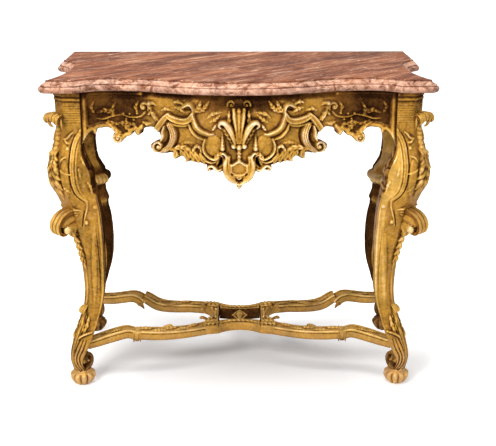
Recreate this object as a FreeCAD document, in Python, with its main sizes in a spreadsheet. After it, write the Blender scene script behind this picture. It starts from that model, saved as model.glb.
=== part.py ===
"""Carved giltwood side table with a shaped marble top, in millimetres.

X runs along the front, Y from the front to the wall side, Z up from the floor.
The origin lies on the floor under the middle of the marble top.
"""

import FreeCAD, Part
import math
import os
from FreeCAD import Placement, Rotation, Vector

SIZES = (
    # Marble top
    ("table_height", 930, "floor to the upper face of the marble"),
    ("top_width", 1090, "side to side"),
    ("top_depth", 590, "front to wall side"),
    ("top_thickness", 35, "whole slab"),
    ("top_wing", 190, "straight run of each side from the back corner"),
    ("top_cove", 90, "length of the hollow in front of each wing"),
    ("top_side_step", 40, "how far the hollow cuts into the side"),
    ("top_ear_round", 26, "rounding of the front corners"),
    ("top_ear_width", 105, "front corner ear, from the side to its inner corner"),
    ("top_ear_setback", 33, "ear behind the middle of the front"),
    ("top_ear_from_wing", 3, "ear inside the wing"),
    ("top_recess_from_side", 195, "side to the deepest point of the front recess"),
    ("top_recess", 73, "deepest point of the recess behind the middle of the front"),
    ("top_cap_height", 5, "raised flat field"),
    ("top_cap_inset", 17, "edge moulding around the field"),
    ("top_upper_round", 14, "upper rounding of the edge"),
    ("top_lower_round", 8, "lower rounding of the edge"),
    # Legs
    ("post_inset_side", 35, "post inside the side of the top"),
    ("post_inset_front", 63, "post behind the front of the top"),
    ("post_size", 73, "square of the post"),
    ("post_cant", 26, "canted outer corner of the post"),
    ("post_foot", 105, "underside of the marble to the lower end of the square post"),
    ("back_spread", 16, "back legs further out than the front legs, on each side"),
    ("foot_height", 42, "floor to the top of the foot block, on the leg pattern"),
    ("foot_radius", 37, "foot block at its widest"),
    ("foot_neck", 27, "foot block under the leg"),
    ("foot_lobe", 6, "depth of the hollows between the toes"),
    # Aprons and inner frame
    ("apron_inset", 26, "front apron behind the edge of the top"),
    ("apron_drop", 264, "underside of the marble to the tip of the front apron"),
    ("side_apron_drop", 155, "side apron at the posts"),
    ("apron_thickness", 28, "front and side aprons"),
    ("side_reveal", 8, "side apron inside the outer face of the post"),
    ("side_bow", 22, "hollow of the side apron"),
    ("back_rail_height", 92, "back rail"),
    ("back_rail_thickness", 26, "back rail"),
    ("tenon_length", 30, "tenon in the post"),
    ("tenon_thickness", 12, "tenon"),
    ("tenon_height", 60, "tenon"),
    ("tenon_drop", 20, "top of the post to the tenon"),
    ("joint_gap", 0.3, "clearance around tenons, dowels and pegs"),
    ("peg_radius", 4, "peg through each tenon"),
    ("peg_length", 62, "peg from the inner face of the post"),
    ("bearer_width", 40, "cross bearer"),
    ("bearer_height", 25, "cross bearer"),
    ("bearer_place", 190, "middle of the table to a cross bearer"),
    ("block_leg", 74, "glue block along each rail"),
    ("block_height", 60, "glue block"),
    # Scrolls on the legs
    ("knee_scroll_height", 511, "axis of the knee scroll on the leg pattern"),
    ("knee_scroll_radius", 30, "knee scroll"),
    ("knee_scroll_width", 50, "length of the roll"),
    ("knee_scroll_reach", 25, "canted face of the leg to the axis"),
    ("ankle_scroll_height", 78, "axis of the ankle scroll on the leg pattern"),
    ("ankle_scroll_radius", 17, "ankle scroll"),
    ("ankle_scroll_width", 40, "length of the roll"),
    ("scroll_eye", 7, "radius of the eye of a roll"),
    ("scroll_eye_height", 3, "eye proud of the end of the roll"),
    ("husk_top", 80, "underside of the marble to the curled leaf of the husk chain"),
    ("husk_bead", 7.5, "radius of a bead"),
    ("husk_pitch", 16.5, "bead to bead"),
    # Stretcher
    ("stretcher_top", 140, "floor to the upper face of the stretcher"),
    ("stretcher_thickness", 26, "stretcher"),
    ("arm_width", 38, "stretcher arm"),
    ("arm_angle", 25.8, "degrees from the front to the arm where it meets the yoke"),
    ("collar_from_middle", 333, "middle of the table to the collar of an arm, along the front"),
    ("collar_from_axis", 133, "long axis of the table to the collar of an arm"),
    ("collar_width", 18, "collar along the arm"),
    ("collar_proud", 5, "collar beyond the arm all round"),
    ("yoke_half", 65, "middle of the table to the inner face of a yoke"),
    ("yoke_reach", 50, "yoke from its inner face to the arm"),
    ("bar_outer", 97, "middle of the table to the outer edge of a bar at its end"),
    ("bar_inner", 47, "middle of the table to the inner edge of a bar at its end"),
    ("bar_waist_outer", 71, "outer edge of a bar at its middle"),
    ("bar_waist_inner", 38, "inner edge of a bar at its middle"),
    ("lozenge_half_width", 28, "lozenge between the bars"),
    ("lozenge_thickness", 16, "lozenge between the bars"),
    ("dowel_radius", 5, "stretcher dowel"),
    ("dowel_length", 44, "stretcher dowel"),
    # Cartouche
    ("carving_gap", 0.3, "carved pieces off the face of the apron"),
    ("carving_height", 9, "highest ridge of a carved scroll"),
    ("shield_height", 13, "shield proud of the apron"),
)

# Leg pattern from the knee down: run from the station above, outer corner beyond the post,
# width of the section, thickness of its flanks and cant of its outer corner. The last run
# ends on the foot block, and all are let out or taken in together to suit the height of the post.
LEG_STATIONS = (
    ("upper_knee", 70, 14, 88, 72, 34),
    ("knee", 85, 25, 118, 74, 44),
    ("lower_knee", 90, 8, 110, 70, 40),
    ("thigh", 75, -17, 96, 64, 34),
    ("calf", 90, -40, 71, 54, 25),
    ("waist", 90, -47, 61, 50, 20),
    ("ankle", 75, -38, 52, 44, 16),
    ("instep", 85, -7, 54, 46, 14),
    ("toe", 88, -11, 48, 42, 14),
)

doc = FreeCAD.newDocument("side_table")
sheet = doc.addObject("Spreadsheet::Sheet", "Sizes")
row = 1
for alias, value, meaning in SIZES:
    sheet.set("A%d" % row, meaning)
    sheet.set("B%d" % row, str(value))
    sheet.setAlias("B%d" % row, alias)
    row += 1
for station, run, outset, width, flank, cant in LEG_STATIONS:
    for part, value in (
        ("run", run),
        ("outset", outset),
        ("width", width),
        ("flank", flank),
        ("cant", cant),
    ):
        sheet.set("A%d" % row, "leg at the " + station.replace("_", " ") + ", " + part)
        sheet.set("B%d" % row, str(value))
        sheet.setAlias("B%d" % row, station + "_" + part)
        row += 1
doc.recompute()


def size(alias):
    return float(sheet.get(alias))


nodes = []


def keep(feature, label):
    """Make a finished feature one of the table's pieces."""
    feature.Label = label
    nodes.append(feature)
    return feature


def bind(feature, **formulas):
    """Tie properties to the sheet; a double underscore stands for the dot in a property path."""
    for path, formula in formulas.items():
        feature.setExpression(path.replace("__", "."), formula)
    return feature


class Outline:
    """A run of straight lines and three-point arcs in the plane of a sketch."""

    def __init__(self, x, y):
        self.first = Vector(x, y, 0)
        self.last = self.first
        self.pieces = []

    def line(self, x, y):
        end = Vector(x, y, 0)
        self.pieces.append(Part.LineSegment(self.last, end))
        self.last = end
        return self

    def arc(self, mid_x, mid_y, x, y):
        end = Vector(x, y, 0)
        self.pieces.append(Part.Arc(self.last, Vector(mid_x, mid_y, 0), end))
        self.last = end
        return self

    def close(self):
        if self.last.distanceToPoint(self.first) > 1e-6:
            self.pieces.append(Part.LineSegment(self.last, self.first))
        return self.pieces


def plane_of(body, role):
    for feature in body.Origin.OriginFeatures:
        if feature.Role == role:
            return feature
    raise ValueError(role)


def body_sketch(body, name, role, pieces):
    sketch = body.newObject("Sketcher::SketchObject", name)
    sketch.AttachmentSupport = [(plane_of(body, role), "")]
    sketch.MapMode = "FlatFace"
    for piece in pieces:
        sketch.addGeometry(piece)
    return sketch


def free_sketch(name, pieces):
    sketch = doc.addObject("Sketcher::SketchObject", name)
    for piece in pieces:
        sketch.addGeometry(piece)
    return sketch


def pad(body, sketch, name, formula, symmetric=False):
    feature = body.newObject("PartDesign::Pad", name)
    feature.Profile = sketch
    if symmetric:
        feature.SideType = "Symmetric"
    feature.setExpression("Length", formula)
    sketch.Visibility = False
    return feature


def pocket_through(body, sketch, name):
    feature = body.newObject("PartDesign::Pocket", name)
    feature.Profile = sketch
    feature.SideType = "Symmetric"
    feature.Type = "ThroughAll"
    sketch.Visibility = False
    return feature


def box(name, length, width, height, x, y, z):
    """A block bound to the sheet; x, y and z place its lower corner."""
    feature = doc.addObject("Part::Box", name)
    return bind(
        feature,
        Length=length,
        Width=width,
        Height=height,
        Placement__Base__x=x,
        Placement__Base__y=y,
        Placement__Base__z=z,
    )


def rod(name, radius, length, start, direction):
    """A round rod from a start point along a direction."""
    feature = doc.addObject("Part::Cylinder", name)
    bind(feature, Radius=radius, Height=length)
    feature.Placement = Placement(start, Rotation(Vector(0, 0, 1), direction))
    return feature


def fuse(name, features):
    feature = doc.addObject("Part::MultiFuse", name)
    feature.Shapes = features
    return feature


def cut(name, base, tool):
    feature = doc.addObject("Part::Cut", name)
    feature.Base = base
    feature.Tool = tool
    return feature


def group(name, features):
    feature = doc.addObject("Part::Compound", name)
    feature.Links = features
    return feature


def mirror(name, source, axis):
    feature = doc.addObject("Part::Mirroring", name)
    feature.Source = source
    feature.Normal = Vector(1, 0, 0) if axis == "x" else Vector(0, 1, 0)
    return feature


def to_back(name, source):
    """Mirror of a front left feature at the back left leg, which stands further out."""
    return bind(mirror(name, source, "y"), Placement__Base__x="-Sizes.back_spread")


def four_corners(name, front, back):
    """Keep a front left and a back left piece with their mirrors on the right."""
    keep(front, name + "_front_left")
    right = keep(mirror(name + "_fr", front, "x"), name + "_front_right")
    keep(back, name + "_back_left")
    keep(mirror(name + "_br", back, "x"), name + "_back_right")
    return right


def at_each_leg(name, front):
    back = to_back(name + "_bl", front)
    right = four_corners(name, front, back)
    return right, back


def left_and_right(name, source):
    keep(source, name + "_left")
    return source, keep(mirror(name + "_mirror", source, "x"), name + "_right")


# Marble top. The front is three tangent arcs, with the ears and hollowed sides beyond them.

half_width = size("top_width") / 2
half_depth = size("top_depth") / 2
recess_x = half_width - size("top_recess_from_side")
recess_y = -half_depth + size("top_recess")
ear_y = -half_depth + size("top_ear_setback")
ear_in_x = half_width - size("top_ear_width")
bow_radii = (recess_x ** 2 + size("top_recess") ** 2) / (2 * size("top_recess"))
hollow_radius = 0.38 * bow_radii
bulge_radius = bow_radii - hollow_radius
bulge_centre_y = -half_depth + bulge_radius
hollow_centre_y = recess_y - hollow_radius
ear_run = ear_in_x - recess_x
ear_rise = recess_y - ear_y
ear_radius = (ear_run ** 2 + ear_rise ** 2) / (2 * ear_rise)
ear_centre_y = recess_y - ear_radius
turn_x = recess_x * (1 - hollow_radius / bow_radii)


def front_y(x, inset):
    """Front edge of the top moved back by an inset, at any x between the ears."""
    reach = abs(x)
    shift = reach - recess_x
    bulge = bulge_radius - inset
    if reach <= turn_x * bulge / bulge_radius:
        return bulge_centre_y - math.sqrt(bulge ** 2 - reach ** 2)
    if reach <= recess_x:
        return hollow_centre_y + math.sqrt((hollow_radius + inset) ** 2 - shift ** 2)
    return ear_centre_y + math.sqrt((ear_radius + inset) ** 2 - shift ** 2)


def front_run(outline, inset, end_x, sense):
    """Follow the front from one end to the other; sense 1 runs towards +X."""
    bulge = bulge_radius - inset
    turn = turn_x * bulge / bulge_radius
    stops = (-end_x, -recess_x, -turn, turn, recess_x, end_x)
    for start, end in zip(stops, stops[1:]):
        middle = (start + end) / 2
        outline.arc(
            sense * middle, front_y(middle, inset), sense * end, front_y(end, inset)
        )
    return outline


def top_outline(back_y):
    wing_y = half_depth - size("top_wing")
    step = size("top_side_step")
    cove = size("top_cove")
    inner_x = half_width - step
    inner_y = wing_y - cove
    cove_radius = (step ** 2 + cove ** 2) / (2 * step)
    ear_x = half_width - size("top_ear_from_wing")
    round_ = size("top_ear_round")
    flare_y = ear_y + round_
    flare_run = inner_y - flare_y
    flare_out = ear_x - inner_x
    flare_radius = (flare_run ** 2 + flare_out ** 2) / (2 * flare_out)
    cove_mid_y = inner_y + 0.5 * cove
    cove_mid_x = inner_x + cove_radius - math.sqrt(cove_radius ** 2 - (0.5 * cove) ** 2)
    flare_mid_x = inner_x + flare_radius - math.sqrt(flare_radius ** 2 - (0.5 * flare_run) ** 2)
    nose = round_ * math.sqrt(0.5)

    outline = Outline(-half_width, back_y)
    outline.line(-half_width, wing_y)
    outline.arc(-cove_mid_x, cove_mid_y, -inner_x, inner_y)
    outline.arc(-flare_mid_x, inner_y - 0.5 * flare_run, -ear_x, flare_y)
    outline.arc(
        -(ear_x - round_ + nose), flare_y - nose, -(ear_x - round_), ear_y
    )
    outline.line(-ear_in_x, ear_y)
    front_run(outline, 0, ear_in_x, 1)
    outline.line(ear_x - round_, ear_y)
    outline.arc(ear_x - round_ + nose, flare_y - nose, ear_x, flare_y)
    outline.arc(flare_mid_x, inner_y - 0.5 * flare_run, inner_x, inner_y)
    outline.arc(cove_mid_x, cove_mid_y, half_width, wing_y)
    outline.line(half_width, back_y)
    return outline.close()


def extrude_up(name, base, formula):
    feature = doc.addObject("Part::Extrusion", name)
    feature.Base = base
    feature.DirMode = "Custom"
    feature.Dir = Vector(0, 0, 1)
    feature.Solid = True
    feature.setExpression("LengthFwd", formula)
    return feature


def rim_edges(shape, level, back_y):
    """Numbers of the edges at one height, all but the back edge."""
    found = []
    for number, edge in enumerate(shape.Edges, 1):
        box_ = edge.BoundBox
        flat = abs(box_.ZMin - level) < 1e-6 and abs(box_.ZMax - level) < 1e-6
        if flat and box_.YMin < back_y - 1e-6:
            found.append(number)
    return found


top_plan = free_sketch("top_plan", top_outline(half_depth))
bind(top_plan, Placement__Base__z="Sizes.table_height - Sizes.top_thickness")
top_slab = extrude_up("top_slab", top_plan, "Sizes.top_thickness - Sizes.top_cap_height")
cap_plan = free_sketch("cap_plan", top_outline(half_depth + size("top_cap_inset")))
bind(cap_plan, Placement__Base__z="Sizes.table_height - Sizes.top_cap_height")
cap_inset = doc.addObject("Part::Offset2D", "cap_inset")
cap_inset.Source = cap_plan
cap_inset.Join = "Intersection"
cap_inset.setExpression("Value", "-Sizes.top_cap_inset")
top_cap = extrude_up("top_cap", cap_inset, "Sizes.top_cap_height")
doc.recompute()
top_moulded = doc.addObject("Part::Fillet", "top_moulded")
top_moulded.Base = top_slab
upper_level = size("table_height") - size("top_cap_height")
lower_level = size("table_height") - size("top_thickness")
top_moulded.Edges = [
    (number, size("top_upper_round"), size("top_upper_round"))
    for number in rim_edges(top_slab.Shape, upper_level, half_depth)
] + [
    (number, size("top_lower_round"), size("top_lower_round"))
    for number in rim_edges(top_slab.Shape, lower_level, half_depth)
]
keep(fuse("top", [top_moulded, top_cap]), "marble_top")

# Legs. One is lofted for the front left corner, on a section with a canted outer corner.

post_x = -half_width + size("post_inset_side")
post_y = -half_depth + size("post_inset_front")
post_in_x = post_x + size("post_size")
post_in_y = post_y + size("post_size")
post_top = size("table_height") - size("top_thickness")
post_foot = "(Sizes.table_height - Sizes.top_thickness - Sizes.post_foot)"


def pattern_parts(station):
    """Sheet names of the runs that lie under a station of the leg pattern."""
    names = [row_[0] for row_ in LEG_STATIONS]
    return ["foot_height"] + [name + "_run" for name in names[names.index(station) + 1:]]


whole_pattern = pattern_parts(LEG_STATIONS[0][0]) + [LEG_STATIONS[0][0] + "_run"]
leg_stretch = (post_top - size("post_foot")) / sum(size(part) for part in whole_pattern)


def formula_sum(parts):
    return "(" + " + ".join("Sizes." + part for part in parts) + ")"



def leg_section(outset, width, flank, cant):
    """Six-sided section: outer corner canted, inner corner cut back to the flanks."""
    left = post_x - outset
    front = post_y - outset
    outline = Outline(left + cant, front)
    outline.line(left + width, front)
    outline.line(left + width, front + flank)
    outline.line(left + flank, front + width)
    outline.line(left, front + width)
    outline.line(left, front + cant)
    return outline.close()


def station_sizes(station):
    return [size(station + "_" + part) for part in ("outset", "width", "flank", "cant")]


leg_body = doc.addObject("PartDesign::Body", "leg_body")
near_square = size("post_size") - 1
post_section = leg_section(0, size("post_size"), near_square, size("post_cant"))
post_plan = body_sketch(leg_body, "post_plan", "XY_Plane", post_section)
bind(post_plan, AttachmentOffset__Base__z=post_foot)
pad(leg_body, post_plan, "post", "Sizes.post_foot")
leg_head = body_sketch(leg_body, "leg_head", "XY_Plane", post_section)
bind(leg_head, AttachmentOffset__Base__z=post_foot)
stations = []
for station in LEG_STATIONS:
    section = leg_section(*station_sizes(station[0]))
    sketch = body_sketch(leg_body, "section_" + station[0], "XY_Plane", section)
    level = formula_sum(pattern_parts(station[0])) + " * " + post_foot + " / " + formula_sum(whole_pattern)
    bind(sketch, AttachmentOffset__Base__z=level)
    stations.append(sketch)
shaft = leg_body.newObject("PartDesign::AdditiveLoft", "shaft")
shaft.Profile = leg_head
shaft.Sections = stations


def on_leg(alias):
    """Height above the floor of a size given on the leg pattern."""
    return size(alias) * leg_stretch


def leg_at(height, part):
    """A station size of the leg at any height, straight between the stations."""
    levels = [(post_top - size("post_foot"), "post")]
    for station in LEG_STATIONS:
        under = sum(size(part_) for part_ in pattern_parts(station[0]))
        levels.append((under * leg_stretch, station[0]))
    post_values = {"outset": 0.0, "width": size("post_size"), "flank": near_square}
    post_values["cant"] = size("post_cant")

    def value(name):
        return post_values[part] if name == "post" else size(name + "_" + part)

    if height >= levels[0][0]:
        return post_values[part]
    for (upper, above), (lower, below) in zip(levels, levels[1:]):
        if height >= lower:
            share = (height - lower) / (upper - lower)
            return value(below) + share * (value(above) - value(below))
    return value(levels[-1][1])


def canted_face(height, reach):
    """Point on the diagonal of the front left leg, a reach outside its canted face."""
    shift = leg_at(height, "cant") / 2 - leg_at(height, "outset") - reach * math.sqrt(0.5)
    return Vector(post_x + shift, post_y + shift, height)


def inner_face(height):
    """Point on the same diagonal where the leg faces the middle of the table."""
    shift = (leg_at(height, "width") + leg_at(height, "flank")) / 2 - leg_at(height, "outset")
    return Vector(post_x + shift, post_y + shift, height)


# Joints of the front left leg: two mortises, two peg holes and the stretcher dowel hole

apron_back = size("apron_inset") + size("apron_thickness")
tenon_y = (front_y(post_in_x, size("apron_inset")) + front_y(post_in_x, apron_back)) / 2
side_x = post_x + size("side_reveal")
tenon_x = side_x + size("apron_thickness") / 2
tenon_low = "Sizes.table_height - Sizes.top_thickness - Sizes.tenon_drop - Sizes.tenon_height"
tenon_root = 9


def number(value):
    return "%.6f" % value


def front_tenon(name, gap, root):
    """Tenon along X into the front left post; root is its length behind the shoulder."""
    return box(
        name,
        "Sizes.tenon_length + %s + %s" % (gap, number(root)),
        "Sizes.tenon_thickness + 2 * " + gap,
        "Sizes.tenon_height + 2 * " + gap,
        number(post_in_x) + " - Sizes.tenon_length - " + gap,
        "%s - Sizes.tenon_thickness / 2 - %s" % (number(tenon_y), gap),
        tenon_low + " - " + gap,
    )


def side_tenon(name, gap, root):
    """Tenon along Y into the front left post."""
    return box(
        name,
        "Sizes.tenon_thickness + 2 * " + gap,
        "Sizes.tenon_length + %s + %s" % (gap, number(root)),
        "Sizes.tenon_height + 2 * " + gap,
        "%s - Sizes.tenon_thickness / 2 - %s" % (number(tenon_x), gap),
        number(post_in_y) + " - Sizes.tenon_length - " + gap,
        tenon_low + " - " + gap,
    )


tenon_z = post_top - size("tenon_drop") - size("tenon_height") / 2
peg_x = post_in_x - size("tenon_length") / 2
peg_y = post_in_y - size("tenon_length") / 2
peg_step = size("tenon_height") / 4
front_peg_start = Vector(peg_x, post_in_y, tenon_z + peg_step)
side_peg_start = Vector(post_in_x, peg_y, tenon_z - peg_step)


def front_peg(name, gap):
    start = front_peg_start + Vector(0, gap, 0)
    return rod(
        name, "Sizes.peg_radius + " + number(gap), "Sizes.peg_length + 2 * " + number(gap),
        start, Vector(0, -1, 0)
    )


def side_peg(name, gap):
    start = side_peg_start + Vector(gap, 0, 0)
    return rod(
        name, "Sizes.peg_radius + " + number(gap), "Sizes.peg_length + 2 * " + number(gap),
        start, Vector(-1, 0, 0)
    )


joint_gap = size("joint_gap")
stretcher_mid = size("stretcher_top") - size("stretcher_thickness") / 2
leg_axis = inner_face(stretcher_mid) - Vector(1, 1, 0) * (leg_at(stretcher_mid, "flank") / 2)
collar_point = Vector(-size("collar_from_middle"), -size("collar_from_axis"), stretcher_mid)
inner_run = (collar_point - leg_axis).normalize()
leg_meeting = inner_face(stretcher_mid) + Vector(2, -9, 0)


def dowel(name, middle, direction, gap):
    half = size("dowel_length") / 2 + gap
    return rod(
        name, "Sizes.dowel_radius + " + number(gap), "Sizes.dowel_length + 2 * " + number(gap),
        middle - direction * half, direction
    )


leg_hollows = fuse(
    "leg_hollows",
    [
        front_tenon("front_mortise", "Sizes.joint_gap", 0),
        side_tenon("side_mortise", "Sizes.joint_gap", 0),
        front_peg("front_peg_hole", joint_gap),
        side_peg("side_peg_hole", joint_gap),
        dowel("leg_dowel_hole", leg_meeting, inner_run, joint_gap),
    ],
)
leg = cut("leg_front_left", leg_body, leg_hollows)
leg_right, leg_back = at_each_leg("leg", leg)

# Feet, turned blocks with hollows between the toes

foot_body = doc.addObject("PartDesign::Body", "foot_body")
foot_radius = size("foot_radius")
foot_height = on_leg("foot_height")
foot_profile = Outline(0, 0)
foot_profile.line(0.84 * foot_radius, 0)
foot_profile.arc(foot_radius, 0.4 * foot_height, 0.92 * foot_radius, 0.68 * foot_height)
foot_profile.line(size("foot_neck"), 0.8 * foot_height)
foot_profile.line(size("foot_neck"), foot_height)
foot_profile.line(0, foot_height)
foot_sketch = body_sketch(foot_body, "foot_profile", "XZ_Plane", foot_profile.close())
turned = foot_body.newObject("PartDesign::Revolution", "foot_turned")
turned.Profile = foot_sketch
turned.ReferenceAxis = (foot_sketch, ["V_Axis"])
turned.Angle = 360
hollow_sketch = body_sketch(
    foot_body,
    "toe_hollow",
    "XY_Plane",
    [Part.Circle(Vector(foot_radius + 1, 0, 0), Vector(0, 0, 1), size("foot_lobe"))],
)
toe_hollow = pocket_through(foot_body, hollow_sketch, "toe_hollow_cut")
toes = foot_body.newObject("PartDesign::PolarPattern", "toes")
toes.Originals = [toe_hollow]
toes.Axis = (hollow_sketch, ["N_Axis"])
toes.Angle = 360
toes.Occurrences = 10
foot_body.Tip = toes
foot_centre = post_x - size("toe_outset") + size("toe_width") / 2
foot_body.Placement.Base = Vector(foot_centre, foot_centre - post_x + post_y, 0)
at_each_leg("foot", foot_body)

# Rolled scrolls and husk chains on the legs


def spool(name, radius, width, centre):
    """A roll across the diagonal of the front left leg, with sunk ends and eyes."""
    body = doc.addObject("PartDesign::Body", name)
    half = width / 2
    eye_end = half + size("scroll_eye_height")
    eye = min(size("scroll_eye"), 0.4 * radius)
    rim = 0.72 * radius
    sunk = half - 3
    profile = Outline(-eye_end, 0)
    profile.line(-eye_end, 0.7 * eye)
    profile.line(-sunk, eye)
    profile.line(-sunk, rim)
    profile.line(-half, 0.8 * radius)
    profile.arc(-0.93 * half, 0.95 * radius, -0.72 * half, radius)
    profile.arc(0, 0.88 * radius, 0.72 * half, radius)
    profile.arc(0.93 * half, 0.95 * radius, half, 0.8 * radius)
    profile.line(sunk, rim)
    profile.line(sunk, eye)
    profile.line(eye_end, 0.7 * eye)
    profile.line(eye_end, 0)
    sketch = body_sketch(body, name + "_profile", "XY_Plane", profile.close())
    roll = body.newObject("PartDesign::Revolution", name + "_roll")
    roll.Profile = sketch
    roll.ReferenceAxis = (sketch, ["H_Axis"])
    roll.Angle = 360
    body.Placement = Placement(centre, Rotation(Vector(0, 0, 1), -45))
    return body


knee_z = on_leg("knee_scroll_height")
knee_radius = size("knee_scroll_radius")
knee_centre = canted_face(knee_z, size("knee_scroll_reach"))
knee_roll = spool("knee_roll", knee_radius, size("knee_scroll_width"), knee_centre)
tail_body = doc.addObject("PartDesign::Body", "knee_tail")
tail_deep = -size("knee_scroll_reach") - 12
tail_top = 1.9 * knee_radius
tail = Outline(0.3 * knee_radius, 0.75 * knee_radius)
tail.arc(-0.35 * knee_radius, 1.1 * knee_radius, -0.6 * size("knee_scroll_reach"), tail_top)
tail.line(tail_deep, tail_top)
tail.line(tail_deep, -0.5 * knee_radius)
tail.line(0.3 * knee_radius, -0.5 * knee_radius)
tail_sketch = body_sketch(tail_body, "knee_tail_side", "XZ_Plane", tail.close())
pad(tail_body, tail_sketch, "knee_tail_pad", "0.72 * Sizes.knee_scroll_width", True)
tail_body.Placement = Placement(knee_centre, Rotation(Vector(0, 0, 1), -135))
at_each_leg("knee_scroll", cut("knee_seated", fuse("knee_whole", [knee_roll, tail_body]), leg))

ankle_centre = inner_face(on_leg("ankle_scroll_height"))
ankle_roll = spool(
    "ankle_roll", size("ankle_scroll_radius"), size("ankle_scroll_width"), ankle_centre
)
at_each_leg("ankle_scroll", cut("ankle_seated", ankle_roll, leg))

curl_radius = 2.2 * size("husk_bead")
curl_z = post_top - size("husk_top")
husk_parts = [
    spool("husk_curl", curl_radius, 4.4 * size("husk_bead"), canted_face(curl_z, 0.9 * curl_radius))
]
for step in range(5):
    bead_z = curl_z - curl_radius - size("husk_pitch") * (step + 0.6)
    bead = doc.addObject("Part::Sphere", "bead_%d" % step)
    bind(bead, Radius="Sizes.husk_bead")
    bead.Placement = Placement(
        canted_face(bead_z, 0.25 * size("husk_bead")), Rotation(Vector(0, 0, 1), -135)
    )
    husk_parts.append(bead)
at_each_leg("husk_chain", cut("husk_seated", group("husk_whole", husk_parts), leg))

# Front apron. Its plan follows the front of the top; the lower edge is arched and scalloped.

frame_top = "Sizes.table_height - Sizes.top_thickness"


class Edge:
    """Lower edge of an apron from its left end to its middle, drawn on a pattern.

    Columns of the pattern run out from the middle of the apron and rows down from the marble.
    """

    def __init__(self, column_width, row_height, column, row):
        self.column_width = column_width
        self.row_height = row_height
        self.start = self.at(column, row)
        self.runs = []

    def at(self, column, row):
        return column * self.column_width, row * self.row_height

    def line(self, column, row):
        self.runs.append((self.at(column, row),))

    def arc(self, mid_column, mid_row, column, row):
        self.runs.append((self.at(mid_column, mid_row), self.at(column, row)))

    def cutter(self, depth):
        """Closed region under the edge and under its mirror image."""
        place, drop = self.start
        outline = Outline(place, -drop)
        for run in self.runs:
            points = [coordinate for point in run for coordinate in (point[0], -point[1])]
            if len(run) == 2:
                outline.arc(*points)
            else:
                outline.line(*points)
        stops = [self.start] + [run[-1] for run in self.runs]
        for index in range(len(self.runs) - 1, -1, -1):
            run = self.runs[index]
            end = stops[index]
            if len(run) == 2:
                outline.arc(-run[0][0], -run[0][1], -end[0], -end[1])
            else:
                outline.line(-end[0], -end[1])
        outline.line(-place, -depth)
        outline.line(place, -depth)
        return outline.close()


apron_end = -post_in_x
apron_inset = size("apron_inset")
apron_plan = Outline(-apron_end, front_y(apron_end, apron_inset))
front_run(apron_plan, apron_inset, apron_end, 1)
apron_plan.line(apron_end, front_y(apron_end, apron_back))
front_run(apron_plan, apron_back, apron_end, -1)
apron_body = doc.addObject("PartDesign::Body", "apron_body")
apron_sketch = body_sketch(apron_body, "apron_plan", "XY_Plane", apron_plan.close())
bind(apron_sketch, AttachmentOffset__Base__z=frame_top + " - Sizes.apron_drop")
pad(apron_body, apron_sketch, "apron_plank", "Sizes.apron_drop")

carving_column_count = 437
carving_row_count = 264
column_width = apron_end / carving_column_count
row_height = size("apron_drop") / carving_row_count
apron_edge = Edge(column_width, row_height, -carving_column_count, 155)
apron_edge.arc(-426, 122, -396, 107)
apron_edge.line(-364, 106)
apron_edge.arc(-351, 112, -348, 123)
apron_edge.arc(-353, 138, -342, 148)
apron_edge.arc(-329, 148, -322, 138)
apron_edge.arc(-313, 129, -300, 126)
apron_edge.arc(-298, 120, -294, 115)
apron_edge.arc(-283, 126, -272, 115)
apron_edge.arc(-250, 101, -222, 118)
apron_edge.arc(-220, 130, -228, 140)
apron_edge.arc(-249, 156, -228, 172)
apron_edge.arc(-207, 173, -186, 167)
apron_edge.arc(-178, 182, -167, 178)
apron_edge.arc(-150, 191, -131, 187)
apron_edge.arc(-111, 199, -92, 197)
apron_edge.arc(-87, 214, -72, 211)
apron_edge.arc(-60, 219, -46, 214)
apron_edge.arc(-32, 238, -14, 248)
apron_edge.arc(-8, 257, 0, carving_row_count)
edge_sketch = body_sketch(
    apron_body, "apron_edge", "XZ_Plane", apron_edge.cutter(1.2 * size("apron_drop"))
)
bind(edge_sketch, AttachmentOffset__Base__y=frame_top)
pocket_through(apron_body, edge_sketch, "apron_edge_cut")


def piercing(side):
    """Upright slot beside the shield."""
    left, right = side * 60 * column_width, side * 48 * column_width
    middle = (left + right) / 2
    outline = Outline(left, -184 * row_height)
    outline.arc(middle, -178 * row_height, right, -184 * row_height)
    outline.line(right, -196 * row_height)
    outline.arc(middle, -202 * row_height, left, -196 * row_height)
    return outline.close()


pierced = piercing(-1) + piercing(1)
pierced_sketch = body_sketch(apron_body, "apron_piercings", "XZ_Plane", pierced)
bind(pierced_sketch, AttachmentOffset__Base__y=frame_top)
pocket_through(apron_body, pierced_sketch, "apron_pierced")

front_tenons = front_tenon("apron_tenon", "0", tenon_root)
front_holes = front_peg("apron_peg_hole", joint_gap)
apron_fitted = cut("apron_fitted", apron_body, group("front_legs", [leg, leg_right]))
apron_whole = fuse(
    "apron_whole", [apron_fitted, front_tenons, mirror("apron_tenon_right", front_tenons, "x")]
)
apron_holes = group("apron_holes", [front_holes, mirror("apron_hole_right", front_holes, "x")])
front_apron = keep(cut("front_apron", apron_whole, apron_holes), "front_apron")

# Side aprons, hollow in plan

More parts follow.
